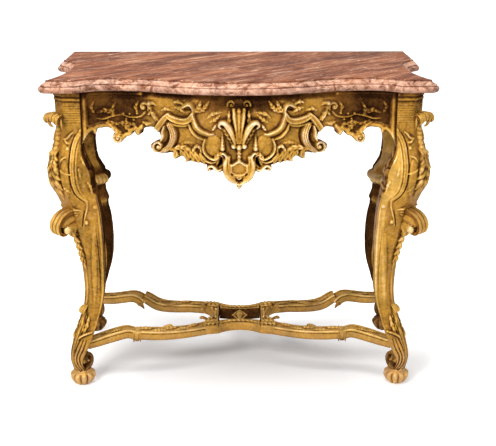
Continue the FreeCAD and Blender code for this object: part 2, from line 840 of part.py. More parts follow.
side_body = doc.addObject("PartDesign::Body", "side_body")
side_in = side_x + size("apron_thickness")
back_spread = size("back_spread")
side_hollow = size("side_bow") - back_spread / 2
side_plan = Outline(side_x, post_in_y)
side_plan.arc(side_x + side_hollow, 0, side_x - back_spread, -post_in_y)
side_plan.line(side_in - back_spread, -post_in_y)
side_plan.arc(side_in + side_hollow, 0, side_in, post_in_y)
side_sketch = body_sketch(side_body, "side_plan", "XY_Plane", side_plan.close())
bind(side_sketch, AttachmentOffset__Base__z=frame_top + " - Sizes.side_apron_drop")
pad(side_body, side_sketch, "side_plank", "Sizes.side_apron_drop")
side_column_count = 159
side_row_count = 155
side_column = -post_in_y / side_column_count
side_row = size("side_apron_drop") / side_row_count
side_edge = Edge(side_column, side_row, -side_column_count, side_row_count)
side_edge.arc(-146, 112, -114, 92)
side_edge.line(-97, 92)
side_edge.arc(-81, 116, -55, 118)
side_edge.arc(-36, 112, -26, 124)
side_edge.arc(-14, 140, 0, 146)
side_edge_sketch = body_sketch(
    side_body, "side_edge", "YZ_Plane", side_edge.cutter(1.2 * size("side_apron_drop"))
)
bind(side_edge_sketch, AttachmentOffset__Base__y=frame_top)
pocket_through(side_body, side_edge_sketch, "side_edge_cut")
side_tenons = side_tenon("side_apron_tenon", "0", tenon_root)
side_holes = side_peg("side_apron_peg_hole", joint_gap)
side_fitted = cut("side_fitted", side_body, group("left_legs", [leg, leg_back]))
side_whole = fuse(
    "side_whole", [side_fitted, side_tenons, to_back("side_tenon_back", side_tenons)]
)
side_hole_pair = group("side_hole_pair", [side_holes, to_back("side_hole_back", side_holes)])
side_left = cut("side_apron_whole", side_whole, side_hole_pair)
side_aprons = left_and_right("side_apron", side_left)

# Back rail, plain, on the wall side

rail_plank = box(
    "rail_plank",
    number(2 * apron_end) + " + 2 * Sizes.back_spread",
    "Sizes.back_rail_thickness",
    "Sizes.back_rail_height",
    number(post_in_x) + " - Sizes.back_spread",
    number(-tenon_y) + " - Sizes.back_rail_thickness / 2",
    frame_top + " - Sizes.back_rail_height",
)
rail_tenon = to_back("rail_tenon", front_tenons)
rail_hole = to_back("rail_hole", front_holes)
rail_whole = fuse("rail_whole", [rail_plank, rail_tenon, mirror("rail_tenon_right", rail_tenon, "x")])
rail_holes = group("rail_holes", [rail_hole, mirror("rail_hole_right", rail_hole, "x")])
back_rail = keep(cut("back_rail_cut", rail_whole, rail_holes), "back_rail")

# Cross bearers between the front apron and the back rail

bearer_front = front_y(size("bearer_place"), apron_inset) + size("apron_thickness") / 2
rail_front = -tenon_y - size("back_rail_thickness") / 2
bearer = box(
    "bearer",
    "Sizes.bearer_width",
    number(rail_front - bearer_front),
    "Sizes.bearer_height",
    "-Sizes.bearer_place - Sizes.bearer_width / 2",
    number(bearer_front),
    frame_top + " - Sizes.bearer_height",
)
left_and_right("cross_bearer", cut("bearer_fitted", bearer, front_apron))


# Glue blocks in the inner corners, cut to the post and both rails


def glue_block(name, sense, spread, neighbours):
    body = doc.addObject("PartDesign::Body", name + "_body")
    corner_x = side_x - spread + 0.8 * size("apron_thickness")
    corner_y = recess_y + apron_inset + 0.5 * size("apron_thickness")
    outline = Outline(corner_x, sense * corner_y)
    outline.line(post_in_x - spread + size("block_leg"), sense * corner_y)
    outline.line(corner_x, sense * (post_in_y + size("block_leg")))
    sketch = body_sketch(body, name + "_plan", "XY_Plane", outline.close())
    bind(sketch, AttachmentOffset__Base__z=tenon_low)
    pad(body, sketch, name + "_pad", "Sizes.block_height")
    return cut(name, body, fuse(name + "_neighbours", neighbours))


block_front = glue_block("glue_block_front", 1, 0, [leg_body, front_apron, side_left])
back_leg_body = to_back("back_leg_body", leg_body)
block_back = glue_block("glue_block_back", -1, back_spread, [back_leg_body, back_rail, side_left])
blocks = [block_front, block_back]
blocks += [mirror(block.Name + "_right", block, "x") for block in blocks]
keep(group("block_group", blocks), "glue_blocks")

# Pegs through the tenons

pegs = [front_peg("front_peg", 0), side_peg("side_peg", 0)]
pegs += [to_back(peg.Name + "_back", peg) for peg in pegs]
pegs += [mirror(peg.Name + "_right", peg, "x") for peg in pegs]
keep(group("peg_group", pegs), "tenon_pegs")

# Stretcher: four arms, two yokes, two bars and a lozenge

stretcher_low = "Sizes.stretcher_top - Sizes.stretcher_thickness"
yoke_half = size("yoke_half")
bar_outer = size("bar_outer")
bar_inner = size("bar_inner")
arm_half = size("arm_width") / 2
arm_end = Vector(-yoke_half - size("yoke_reach"), -0.5 * (bar_outer + bar_inner) - 14, stretcher_mid)
arm_angle = math.radians(size("arm_angle"))
arm_direction = Vector(math.cos(arm_angle), math.sin(arm_angle), 0)
across = Vector(-arm_direction.y, arm_direction.x, 0)
arm_outer = arm_end - across * (arm_half + 2)
arm_inner = arm_end + across * (arm_half + 2)


def flat_body(name, outline, low, thickness):
    body = doc.addObject("PartDesign::Body", name)
    sketch = body_sketch(body, name + "_plan", "XY_Plane", outline.close())
    bind(sketch, AttachmentOffset__Base__z=low)
    pad(body, sketch, name + "_pad", thickness)
    return body


def arm_sweep(name, path, start, direction):
    """Moulded arm section carried along one run of the arm."""
    thick = size("stretcher_thickness") / 2
    profile = Outline(-0.8 * arm_half, -thick)
    profile.line(0.8 * arm_half, -thick)
    profile.line(arm_half, -0.4 * thick)
    profile.line(arm_half, 0.45 * thick)
    profile.line(0.62 * arm_half, 0.62 * thick)
    profile.line(0.5 * arm_half, thick)
    profile.line(-0.5 * arm_half, thick)
    profile.line(-0.62 * arm_half, 0.62 * thick)
    profile.line(-arm_half, 0.45 * thick)
    profile.line(-arm_half, -0.4 * thick)
    sketch = free_sketch(name + "_section", profile.close())
    sideways = Vector(direction.y, -direction.x, 0)
    sketch.Placement = Placement(start, Rotation(sideways, Vector(0, 0, 1), direction, "ZXY"))
    spine = free_sketch(name + "_path", [path])
    spine.Placement.Base.z = stretcher_mid
    sweep = doc.addObject("Part::Sweep", name)
    sweep.Sections = [sketch]
    sweep.Spine = (spine, ["Edge1"])
    sweep.Solid = True
    return sweep


def flat(point):
    return Vector(point.x, point.y, 0)


yoke_plan = Outline(-yoke_half, -bar_outer)
yoke_plan.line(arm_outer.x, arm_outer.y)
yoke_plan.line(arm_inner.x, arm_inner.y)
yoke_plan.arc(-yoke_half - 19, 0, arm_inner.x, -arm_inner.y)
yoke_plan.line(arm_outer.x, -arm_outer.y)
yoke_plan.line(-yoke_half, bar_outer)
yoke_body = flat_body("yoke_body", yoke_plan, stretcher_low, "Sizes.stretcher_thickness")

bar_plan = Outline(-yoke_half, -bar_outer)
bar_plan.arc(0, -size("bar_waist_outer"), yoke_half, -bar_outer)
bar_plan.line(yoke_half, -bar_inner)
bar_plan.arc(0, -size("bar_waist_inner"), -yoke_half, -bar_inner)
bar_body = flat_body("bar_body", bar_plan, stretcher_low, "Sizes.stretcher_thickness")

bar_meeting = Vector(-yoke_half, -(bar_outer + bar_inner) / 2, stretcher_mid)
along = Vector(1, 0, 0)
yoke_hole = group(
    "yoke_hole",
    [
        dowel("yoke_arm_hole", arm_end, arm_direction, joint_gap),
        dowel("yoke_bar_hole", bar_meeting, along, joint_gap),
    ],
)
yoke_holes = group("yoke_holes", [yoke_hole, mirror("yoke_hole_back", yoke_hole, "y")])
yoke = cut("yoke", yoke_body, yoke_holes)
left_and_right("stretcher_yoke", yoke)
bar_hole = dowel("bar_hole", bar_meeting, along, joint_gap)
bar_holes = group("bar_holes", [bar_hole, mirror("bar_hole_right", bar_hole, "x")])
bar = keep(cut("bar", bar_body, bar_holes), "stretcher_bar_front")
bar_far = keep(mirror("bar_far", bar, "y"), "stretcher_bar_back")

outer_run = arm_sweep(
    "arm_outer_run", Part.LineSegment(flat(leg_axis), flat(collar_point)), leg_axis, inner_run
)
collar = doc.addObject("Part::Box", "collar")
bind(
    collar,
    Length="Sizes.collar_width",
    Width="Sizes.arm_width + 2 * Sizes.collar_proud",
    Height="Sizes.stretcher_thickness + 2 * Sizes.collar_proud",
)
collar_turn = Rotation(Vector(0, 0, 1), 8)
collar_offset = Vector(
    -size("collar_width") / 2,
    -arm_half - size("collar_proud"),
    -size("stretcher_thickness") / 2 - size("collar_proud"),
)
collar.Placement = Placement(collar_point + collar_turn.multVec(collar_offset), collar_turn)
collar_round = doc.addObject("Part::Fillet", "collar_round")
collar_round.Base = collar
collar_round.Edges = [(edge, 3.5, 3.5) for edge in range(1, 13)]
outer_part = fuse("arm_outer_part", [outer_run, collar_round])
overlap_end = flat(arm_end + arm_direction * 8)


def arc_onto(start, end, heading):
    """Arc from a start point that arrives at its end with a given heading."""
    chord = end - start
    normal = Vector(-heading.y, heading.x, 0)
    reach = -chord.dot(chord) / (2 * chord.dot(normal))
    centre = end + normal * reach
    middle = (start - centre) + (end - centre)
    return Part.Arc(start, centre + middle.normalize() * abs(reach), end)


def inner_part(name, spread):
    """Hollow run of an arm, from a collar that stands further out by the spread."""
    start = flat(collar_point) - Vector(spread, 0, 0)
    path = arc_onto(start, overlap_end, arm_direction)
    heading = Vector(*path.tangent(path.FirstParameter)[0])
    return arm_sweep(name, path, Vector(start.x, start.y, stretcher_mid), heading)


arm_yoke_hole = dowel("arm_yoke_hole", arm_end, arm_direction, joint_gap)
arm_leg_hole = dowel("arm_leg_hole", leg_meeting, inner_run, joint_gap)
arm_whole = fuse("arm_whole", [outer_part, inner_part("arm_inner_run", 0)])
arm_fitted = cut("arm_fitted", arm_whole, group("arm_neighbours", [leg_body, yoke_body]))
arm = cut("arm", arm_fitted, group("arm_holes", [arm_leg_hole, arm_yoke_hole]))
back_inner = mirror("back_arm_inner", inner_part("back_arm_inner_run", back_spread), "y")
back_whole = fuse("back_arm_whole", [to_back("back_arm_outer", outer_part), back_inner])
back_fitted = cut(
    "back_arm_fitted", back_whole, group("back_arm_neighbours", [back_leg_body, yoke_body])
)
back_holes = [to_back("back_arm_leg_hole", arm_leg_hole), mirror("back_arm_yoke_hole", arm_yoke_hole, "y")]
back_arm = cut("back_arm", back_fitted, group("back_arm_holes", back_holes))
four_corners("stretcher_arm", arm, back_arm)

lozenge_half = size("bar_waist_inner") + 6
lozenge_wide = size("lozenge_half_width")
lozenge_plan = Outline(-0.3 * lozenge_wide, -lozenge_half)
lozenge_plan.line(0.3 * lozenge_wide, -lozenge_half)
lozenge_plan.line(lozenge_wide, 0)
lozenge_plan.line(0.3 * lozenge_wide, lozenge_half)
lozenge_plan.line(-0.3 * lozenge_wide, lozenge_half)
lozenge_plan.line(-lozenge_wide, 0)
lozenge_low = "Sizes.stretcher_top - (Sizes.stretcher_thickness + Sizes.lozenge_thickness) / 2"
lozenge = flat_body("lozenge_body", lozenge_plan, lozenge_low, "Sizes.lozenge_thickness")
keep(cut("lozenge", lozenge, group("both_bars", [bar, bar_far])), "stretcher_lozenge")

leg_dowel = dowel("leg_dowel", leg_meeting, inner_run, 0)
inner_dowels = [
    dowel("yoke_dowel", arm_end, arm_direction, 0),
    dowel("bar_dowel", bar_meeting, along, 0),
]
dowels = [leg_dowel, to_back("leg_dowel_back", leg_dowel)] + inner_dowels
dowels += [mirror(one.Name + "_back", one, "y") for one in inner_dowels]
dowels += [mirror(one.Name + "_right", one, "x") for one in dowels]
keep(group("dowel_group", dowels), "stretcher_dowels")

# Cartouche and scrolls on the face of the front apron


def on_face(column, row, proud=0):
    """Point of the carving pattern on the apron, or proud of it."""
    x = column * column_width
    face = front_y(x, apron_inset) - size("carving_gap")
    return Vector(x, face - proud, post_top - row * row_height)


def volute(centre, radius, eye, start, turns, sense):
    """Columns and rows of a spiral from its outer radius in to the eye."""
    steps = 14
    points = []
    for step in range(steps + 1):
        share = step / steps
        angle = math.radians(start + sense * 360 * turns * share)
        reach = radius + (eye - radius) * share ** 0.85
        points.append(
            (centre[0] + reach * math.cos(angle), centre[1] - reach * math.sin(angle))
        )
    return points


def carved_ridge(points, widths, height):
    """Half-round ridge along a smooth line on the apron face; widths are spread along it."""
    line = Part.BSplineCurve()
    line.interpolate([Vector(column, 0, -row_) for column, row_ in points])
    sections = []
    count = max(9, 3 * len(points))
    first, last = line.FirstParameter, line.LastParameter
    for step in range(count + 1):
        share = step / count
        spot = line.value(first + (last - first) * share)
        heading = line.tangent(first + (last - first) * share)[0]
        place = share * (len(widths) - 1)
        index = min(int(place), len(widths) - 2)
        width = widths[index] + (place - index) * (widths[index + 1] - widths[index])
        side = Vector(-heading.z, 0, heading.x) * (width / 2)
        left = on_face(spot.x + side.x, -spot.z - side.z)
        right = on_face(spot.x - side.x, -spot.z + side.z)
        crown = on_face(spot.x, -spot.z, min(height, 0.75 * width * column_width))
        seat = Part.BSplineCurve()
        seat.interpolate([right, on_face(spot.x, -spot.z), left])
        sections.append(Part.Wire([Part.Arc(left, crown, right).toShape(), seat.toShape()]))
    return Part.makeLoft(sections, True, False)


def button(column, row_, columns, height):
    """Round knob square to the apron face; columns is its radius on the pattern."""
    chord = on_face(column + columns, row_) - on_face(column - columns, row_)
    outward = Vector(chord.y, -chord.x, 0).normalize()
    radius = columns * column_width
    knob = Part.makeCylinder(radius, height, on_face(column, row_), outward)
    return knob.makeFillet(0.4 * radius, [knob.Edges[0]])


def carving(name, shapes):
    feature = doc.addObject("Part::Feature", name)
    feature.Shape = shapes[0] if len(shapes) == 1 else Part.makeCompound(shapes)
    feature.Placement = Placement()
    return feature


ridge = size("carving_height")
low_ridge = 0.7 * ridge
left_and_right(
    "crest_bars",
    carving(
        "crest_bars",
        [
            carved_ridge([(-242, 97), (-225, 80), (-208, 66)], [11, 14, 11], ridge),
            carved_ridge(
                [(-196, 66), (-182, 71), (-164, 76), (-149, 77), (-138, 73), (-132, 66)],
                [9, 13, 14, 13, 8],
                ridge,
            ),
            carved_ridge(
                [(-122, 70), (-120, 86), (-112, 99), (-99, 107), (-84, 111), (-72, 109)],
                [9, 14, 15, 14, 8],
                ridge,
            ),
        ],
    ),
)
left_and_right(
    "c_scroll",
    carving(
        "c_scroll",
        [
            carved_ridge(
                [(-184, 92), (-178, 118), (-184, 140), (-199, 157), (-212, 166)]
                + volute((-230, 155), 14, 6, -70, 0.85, -1),
                [8, 13, 14, 12, 9, 7, 6],
                ridge,
            ),
            carved_ridge([(-212, 102), (-207, 120), (-210, 134)], [5, 8, 5], low_ridge),
            button(-230, 155, 2.5, ridge),
        ],
    ),
)
left_and_right(
    "ring_scroll",
    carving(
        "ring_scroll",
        [
            carved_ridge(
                [(-94, 126), (-97, 142), (-93, 160), (-79, 174), (-66, 174), (-58, 166), (-62, 158)],
                [6, 9, 10, 9, 7, 5],
                low_ridge,
            ),
        ],
    ),
)
left_and_right(
    "low_scroll",
    carving(
        "low_scroll",
        [
            carved_ridge(
                [(-85, 209), (-80, 201), (-71, 200), (-64, 208), (-55, 211), (-48, 207)],
                [5, 7, 8, 7, 5],
                low_ridge,
            ),
        ],
    ),
)
left_and_right(
    "palmette_plume",
    carving(
        "palmette_plume",
        [carved_ridge([(-13, 130), (-19, 110), (-29, 87), (-41, 76), (-52, 80)], [7, 10, 11, 10, 7], ridge)],
    ),
)
left_and_right(
    "cheek_scroll",
    carving(
        "cheek_scroll",
        [
            carved_ridge([(-46, 164), (-40, 176), (-40, 213)], [5, 7, 6], low_ridge),
            carved_ridge([(-31, 176), (-28, 196), (-27, 213)], [4, 5, 4], low_ridge),
        ],
    ),
)
shield_height = size("shield_height")
keep(
    carving(
        "palmette_flute",
        [carved_ridge([(0, 20), (0, 42), (0, 90), (0, 130)], [26, 38, 24, 14], shield_height)],
    ),
    "palmette_flute",
)
keep(
    carving(
        "binding",
        [
            carved_ridge([(-9, 142), (0, 144), (9, 142)], [11, 13, 11], ridge),
            button(-18, 141, 6, ridge),
            button(18, 141, 6, ridge),
        ],
    ),
    "palmette_binding",
)
keep(
    carving("stem", [carved_ridge([(0, 154), (0, 170), (0, 187)], [12, 11, 16], ridge)]),
    "cartouche_stem",
)
keep(
    carving("shield", [carved_ridge([(0, 193), (0, 206), (0, 221)], [34, 42, 36], shield_height)]),
    "shield",
)
keep(
    carving(
        "shield_lip",
        [
            carved_ridge([(-18, 227), (0, 231), (18, 227)], [5, 7, 5], ridge),
            carved_ridge([(-13, 242), (0, 247), (13, 242)], [5, 7, 5], ridge),
            carved_ridge([(0, 254), (0, 258), (0, 262)], [9, 8, 4], ridge),
        ],
    ),
    "shield_lip",
)

doc.recompute()
faulty = [
    feature.Name
    for feature in doc.Objects
    if any(mark in feature.State for mark in ("Invalid", "Error"))
]
if faulty:
    raise RuntimeError("features that failed: " + ", ".join(faulty))
os.makedirs("parts", exist_ok=True)
for feature in nodes:
    shape = feature.Shape
    if shape.isNull() or not shape.isValid():
        raise RuntimeError("bad shape: " + feature.Label)
    shape.exportStep(os.path.join("parts", feature.Label + ".step"))
print("pieces:", len(nodes))
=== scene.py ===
"""Looks of the carved giltwood side table, in metres, on the frame of its CAD model."""

import math

import bpy
import numpy as np
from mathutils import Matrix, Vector
from mathutils.geometry import tessellate_polygon


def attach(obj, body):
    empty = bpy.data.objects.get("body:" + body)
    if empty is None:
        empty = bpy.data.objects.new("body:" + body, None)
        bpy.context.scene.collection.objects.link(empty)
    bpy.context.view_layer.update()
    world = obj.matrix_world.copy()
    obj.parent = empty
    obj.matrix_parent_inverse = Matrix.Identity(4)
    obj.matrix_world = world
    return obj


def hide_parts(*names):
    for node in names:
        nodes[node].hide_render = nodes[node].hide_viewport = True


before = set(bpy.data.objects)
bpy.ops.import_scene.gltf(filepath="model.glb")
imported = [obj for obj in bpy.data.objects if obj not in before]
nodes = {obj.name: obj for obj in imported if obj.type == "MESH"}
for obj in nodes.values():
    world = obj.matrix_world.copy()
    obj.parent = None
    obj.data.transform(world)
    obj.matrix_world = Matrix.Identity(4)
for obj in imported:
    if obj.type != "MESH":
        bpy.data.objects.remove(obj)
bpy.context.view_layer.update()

# Sizes that several pieces share, in millimetres
MARBLE_UNDER = 895
MARBLE_BACK = 295
APRON_INSET = 26
APRON_THICKNESS = 28
COVE_DROP, COVE_REACH = 9, 11
BACK_SPREAD = 16


# Materials


class Tree:
    """Short names for the nodes of one material."""

    def __init__(self, name):
        self.material = bpy.data.materials.new(name)
        self.material.use_nodes = True
        self.tree = self.material.node_tree
        self.tree.nodes.clear()
        self.shader = self.add("ShaderNodeBsdfPrincipled")
        output = self.add("ShaderNodeOutputMaterial")
        self.link(self.shader.outputs[0], output.inputs["Surface"])
        self.place = self.add("ShaderNodeTexCoord").outputs["Object"]

    def add(self, kind, **settings):
        node = self.tree.nodes.new(kind)
        for key, value in settings.items():
            setattr(node, key, value)
        return node

    def link(self, source, target):
        self.tree.links.new(source, target)

    def put(self, node, socket, value):
        """Links an output to a socket, or sets the socket to a plain value."""
        if isinstance(value, bpy.types.NodeSocket):
            self.link(value, node.inputs[socket])
        else:
            node.inputs[socket].default_value = value

    def attribute(self, name):
        return self.add("ShaderNodeAttribute", attribute_name=name).outputs["Fac"]

    def height(self):
        split = self.add("ShaderNodeSeparateXYZ")
        self.link(self.place, split.inputs[0])
        return split.outputs["Z"]

    def stretched(self, scale, turn=(0, 0, 0), middle=(0, 0, 0)):
        """Places from a middle, turned first and then scaled along each axis."""
        node = self.add("ShaderNodeMapping", vector_type="TEXTURE")
        self.link(self.place, node.inputs["Vector"])
        node.inputs["Scale"].default_value = [1 / value for value in scale]
        node.inputs["Rotation"].default_value = turn
        node.inputs["Location"].default_value = middle
        return node.outputs["Vector"]

    def noise(self, scale, detail=4, rough=0.55, place=None, bend=0):
        node = self.add("ShaderNodeTexNoise")
        self.link(place or self.place, node.inputs["Vector"])
        node.inputs["Scale"].default_value = scale
        node.inputs["Detail"].default_value = detail
        node.inputs["Roughness"].default_value = rough
        node.inputs["Distortion"].default_value = bend
        return node.outputs["Fac"]

    def ramp(self, fac, *stops):
        """A colour ramp with stops of place and colour."""
        node = self.add("ShaderNodeValToRGB")
        self.link(fac, node.inputs["Fac"])
        band = node.color_ramp
        while len(band.elements) < len(stops):
            band.elements.new(0.5)
        for element, (at, colour) in zip(band.elements, stops):
            element.position = at
            element.color = (*colour, 1)
        return node.outputs["Color"]

    def mix(self, fac, a, b):
        """A colour between two, each a plain colour or an output."""
        node = self.add("ShaderNodeMix", data_type="RGBA")
        self.put(node, 0, fac)
        for socket, value in ((6, a), (7, b)):
            self.put(node, socket, (*value, 1) if isinstance(value, tuple) else value)
        return node.outputs[2]

    def calc(self, op, a, b):
        """A math node."""
        node = self.add("ShaderNodeMath", operation=op)
        self.put(node, 0, a)
        self.put(node, 1, b)
        return node.outputs[0]

    def span(self, value, low, high, to_low, to_high):
        """A value taken from one range to another."""
        node = self.add("ShaderNodeMapRange")
        self.put(node, 0, value)
        for socket, limit in zip((1, 2, 3, 4), (low, high, to_low, to_high)):
            node.inputs[socket].default_value = limit
        return node.outputs[0]

    def bump(self, height, strength, distance):
        node = self.add("ShaderNodeBump")
        node.inputs["Strength"].default_value = strength
        node.inputs["Distance"].default_value = distance
        self.link(height, node.inputs["Height"])
        self.link(node.outputs[0], self.shader.inputs["Normal"])

    def set(self, **sockets):
        """Fills sockets of the shader, named with underscores for spaces."""
        for name, value in sockets.items():
            self.put(self.shader, name.replace("_", " "), value)
        return self.material


def gilding(name, carved):
    """Worn gold leaf on a red ground; carved pieces carry painted light and shade at each point, dark in
    hollows and pale on crests.
    """
    t = Tree(name)
    broad = t.noise(7, 4, 0.62, None, 0.4)
    patch = t.noise(23, 4, 0.6)
    fine = t.noise(130, 5, 0.62)
    specks = t.noise(380, 3, 0.6)
    # Painted light and shade on carved pieces, a random tone on plain ones, with random tone added to both
    depth = t.attribute("painted_light_and_shade") if carved else t.span(fine, 0.3, 0.7, 0.42, 0.56)
    depth = t.calc("ADD", depth, t.span(fine, 0.25, 0.75, -0.11, 0.11))
    depth = t.calc("ADD", depth, t.span(broad, 0.3, 0.7, -0.06, 0.06))
    depth = t.calc("ADD", depth, t.span(patch, 0.3, 0.7, 0.07, -0.07))
    # Ramp from painted shade, near black in hollows, to painted highlight, pale on crests
    leaf = t.ramp(
        depth,
        (0.0, (0.022, 0.008, 0.003)),
        (0.25, (0.105, 0.042, 0.010)),
        (0.46, (0.390, 0.192, 0.022)),
        (0.66, (0.610, 0.350, 0.070)),
        (0.84, (0.810, 0.560, 0.240)),
        (1.0, (0.910, 0.740, 0.500)),
    )
    # Share lit by the painted light, which tarnish, bare specks, metal and gloss follow
    tone_and_painted_light = t.span(depth, 0.24, 0.46, 0, 1)
    tarnish = t.calc("MULTIPLY", t.span(patch, 0.48, 0.66, 0.0, 0.5), tone_and_painted_light)
    olive = t.mix(tarnish, leaf, (0.240, 0.155, 0.018))
    brown = t.mix(t.span(broad, 0.52, 0.70, 0.0, 0.55), olive, (0.300, 0.125, 0.022))
    rub = t.calc("MULTIPLY", t.span(specks, 0.56, 0.70, 0, 1), t.span(broad, 0.36, 0.60, 0, 1))
    wear_and_painted_sheen = t.mix(t.calc("MULTIPLY", rub, 0.6), brown, (0.300, 0.095, 0.040))
    low = t.span(t.height(), 0.01, 0.17, 0.75, 0.05)
    worn = t.calc("MULTIPLY", low, t.span(patch, 0.38, 0.62, 0.35, 1.0))
    bare = t.calc("MULTIPLY", t.span(t.noise(95, 5, 0.7), 0.56, 0.72, 0.0, 0.35), tone_and_painted_light)
    wear_and_painted_sheen = t.mix(bare, wear_and_painted_sheen, (0.760, 0.540, 0.330))
    colour = t.mix(t.calc("MULTIPLY", worn, tone_and_painted_light), wear_and_painted_sheen, (0.560, 0.330, 0.175))
    t.bump(t.calc("ADD", fine, t.calc("MULTIPLY", specks, 0.4)), 0.28, 0.0008)
    return t.set(
        Base_Color=colour,
        Metallic=t.calc("MULTIPLY", t.span(rub, 0, 1, 0.38, 0.1), tone_and_painted_light),
        Roughness=t.span(fine, 0.25, 0.75, 0.38, 0.60),
        Specular_IOR_Level=t.calc("MULTIPLY", tone_and_painted_light, 0.25),
        Specular_Tint=(0.62, 0.45, 0.20, 1),
    )


def marble(name):
    """Red-brown marble with pale streaks that rise to the right."""
    t = Tree(name)
    along = t.stretched((1.5, 8.0, 8.0), (0, 0, 0.72))
    cloud = t.noise(2.6, 7, 0.66, along, 0.5)
    streak = t.noise(5.2, 9, 0.72, along, 0.8)
    thread = t.noise(3.0, 4, 0.55, t.stretched((0.55, 8.0, 8.0), (0, 0, 0.72)), 0.5)
    grain = t.noise(150, 4, 0.65)
    body = t.ramp(
        cloud,
        (0.32, (0.050, 0.011, 0.004)),
        (0.44, (0.125, 0.032, 0.012)),
        (0.54, (0.215, 0.066, 0.026)),
        (0.68, (0.330, 0.125, 0.056)),
    )
    veined = t.mix(t.span(streak, 0.54, 0.60, 0, 0.8), body, (0.400, 0.185, 0.098))
    dark = t.mix(t.span(streak, 0.38, 0.46, 0.65, 0.0), veined, (0.050, 0.011, 0.005))
    near = t.calc("ABSOLUTE", t.calc("SUBTRACT", thread, 0.5), 0)
    thin = t.span(near, 0.002, 0.008, 0.9, 0.0)
    line = t.calc("MULTIPLY", thin, t.span(cloud, 0.42, 0.54, 0.1, 1.0))
    threads = t.mix(line, dark, (0.800, 0.560, 0.400))
    fleck = t.noise(9.0, 7, 0.72, t.stretched((2.6, 12.0, 12.0), (0, 0, 0.72)), 0.4)
    flecked = t.mix(t.span(fleck, 0.55, 0.64, 0.0, 0.75), threads, (0.500, 0.265, 0.165))
    flecked = t.mix(t.span(fleck, 0.34, 0.44, 0.6, 0.0), flecked, (0.070, 0.016, 0.007))
    grained = t.mix(t.span(grain, 0.42, 0.7, 0.0, 0.2), flecked, (0.330, 0.140, 0.080))
    # Painted highlight on the edge moulding, broken by mottling, and painted shade in its two quirks
    high = t.height()
    mottle = t.span(t.noise(34, 6, 0.72, None, 1.4), 0.41, 0.62, 0.06, 0.90)
    wear_and_painted_sheen = t.calc("MULTIPLY", t.span(high, 0.926, 0.929, 1.0, 0.0), mottle)
    colour = t.mix(wear_and_painted_sheen, grained, (0.700, 0.420, 0.300))
    for level in (0.9139, 0.9262):
        off = t.calc("ABSOLUTE", t.calc("SUBTRACT", high, level), 0)
        colour = t.mix(t.span(off, 0.0009, 0.0020, 0.36, 0.0), colour, (0.050, 0.012, 0.007))
    t.bump(grain, 0.05, 0.0004)
    return t.set(
        Base_Color=colour,
        Roughness=t.span(cloud, 0.2, 0.8, 0.30, 0.42),
        Specular_IOR_Level=0.006,
    )


def bare_wood(name):
    """Unfinished softwood of the inner frame, with grain along each piece's length."""
    t = Tree(name)
    grain = t.noise(14, 6, 0.6, t.stretched((1.2, 9, 14)), 0.8)
    pore = t.noise(90, 4, 0.6, t.stretched((0.5, 3, 4)))
    colour = t.ramp(
        grain,
        (0.3, (0.16, 0.085, 0.038)),
        (0.55, (0.30, 0.175, 0.085)),
        (0.75, (0.40, 0.25, 0.13)),
    )
    t.bump(pore, 0.3, 0.0008)
    return t.set(
        Base_Color=t.mix(t.span(pore, 0.4, 0.7, 0, 0.4), colour, (0.12, 0.06, 0.03)),
        Roughness=t.span(pore, 0.3, 0.7, 0.62, 0.82),
    )


gold = gilding("gilding", True)
plain_gold = gilding("gilding_plain", False)
stone = marble("rosso_marble")
wood = bare_wood("frame_wood")

WOODEN = ("back_rail", "cross_bearer", "glue_blocks", "tenon_pegs", "stretcher_dowels")
for name, node in nodes.items():
    node.data.materials.clear()
    if name == "marble_top":
        node.data.materials.append(stone)
    elif name.startswith(WOODEN):
        node.data.materials.append(wood)
    else:
        node.data.materials.append(plain_gold)


# Carving: heights over a sheet of places and drops, in millimetres


def smooth_line(points, step=0.7):
    """Even samples of a smooth line through points of any dimension."""
    p = np.array(points, float)
    ghost = np.vstack([2 * p[0] - p[1], p, 2 * p[-1] - p[-2]])
    rows = []
    for a, b, c, d in zip(ghost, ghost[1:], ghost[2:], ghost[3:]):
        t = np.linspace(0, 1, 12, endpoint=False)[:, None]
        rows.append(
            0.5 * (2 * b + (c - a) * t + (2 * a - 5 * b + 4 * c - d) * t**2 + (3 * b - a - 3 * c + d) * t**3)
        )
    line = np.vstack(rows + [p[-1:]])
    along = np.concatenate([[0], np.cumsum(np.linalg.norm(np.diff(line, axis=0), axis=1))])
    count = max(4, int(along[-1] / step))
    even = np.linspace(0, along[-1], count + 1)
    return np.stack([np.interp(even, along, line[:, k]) for k in range(p.shape[1])], 1)


def spread(values, shares):
    """Values given at even shares of a line, read at any share of it."""
    values = np.atleast_1d(np.array(values, float))
    if len(values) == 1:
        return np.full(np.shape(shares), values[0])
    return np.interp(shares, np.linspace(0, 1, len(values)), values)


def volute(x, d, outer, eye, start, turns):
    """Points of a spiral; turns above zero run clockwise as seen from the front."""
    t = np.linspace(0, 1, int(10 * abs(turns)) + 6)
    angle = np.radians(start) - 2 * np.pi * turns * t
    reach = outer + (eye - outer) * t**0.8
    return list(zip(x + reach * np.cos(angle), d - reach * np.sin(angle)))


def soften(sheet, passes):
    """A sheet with each value drawn towards its four neighbours."""
    for _ in range(passes):
        p = np.pad(sheet, 1, mode="edge")
        sheet = (p[:-2, 1:-1] + p[2:, 1:-1] + p[1:-1, :-2] + p[1:-1, 2:] + 4 * p[1:-1, 1:-1]) / 8
    return sheet


def rise(value, start, run):
    """Zero up to a start and one from a run after it, straight between."""
    return np.clip((value - start) / run, 0, 1)


def fall(value, end, run):
    """One until a run before an end and zero from the end on, straight between."""
    return np.clip((end - value) / run, 0, 1)


def dome(share):
    """Round height: one at the middle and zero from the share one on."""
    return np.sqrt(np.clip(1 - share**2, 0, 1))


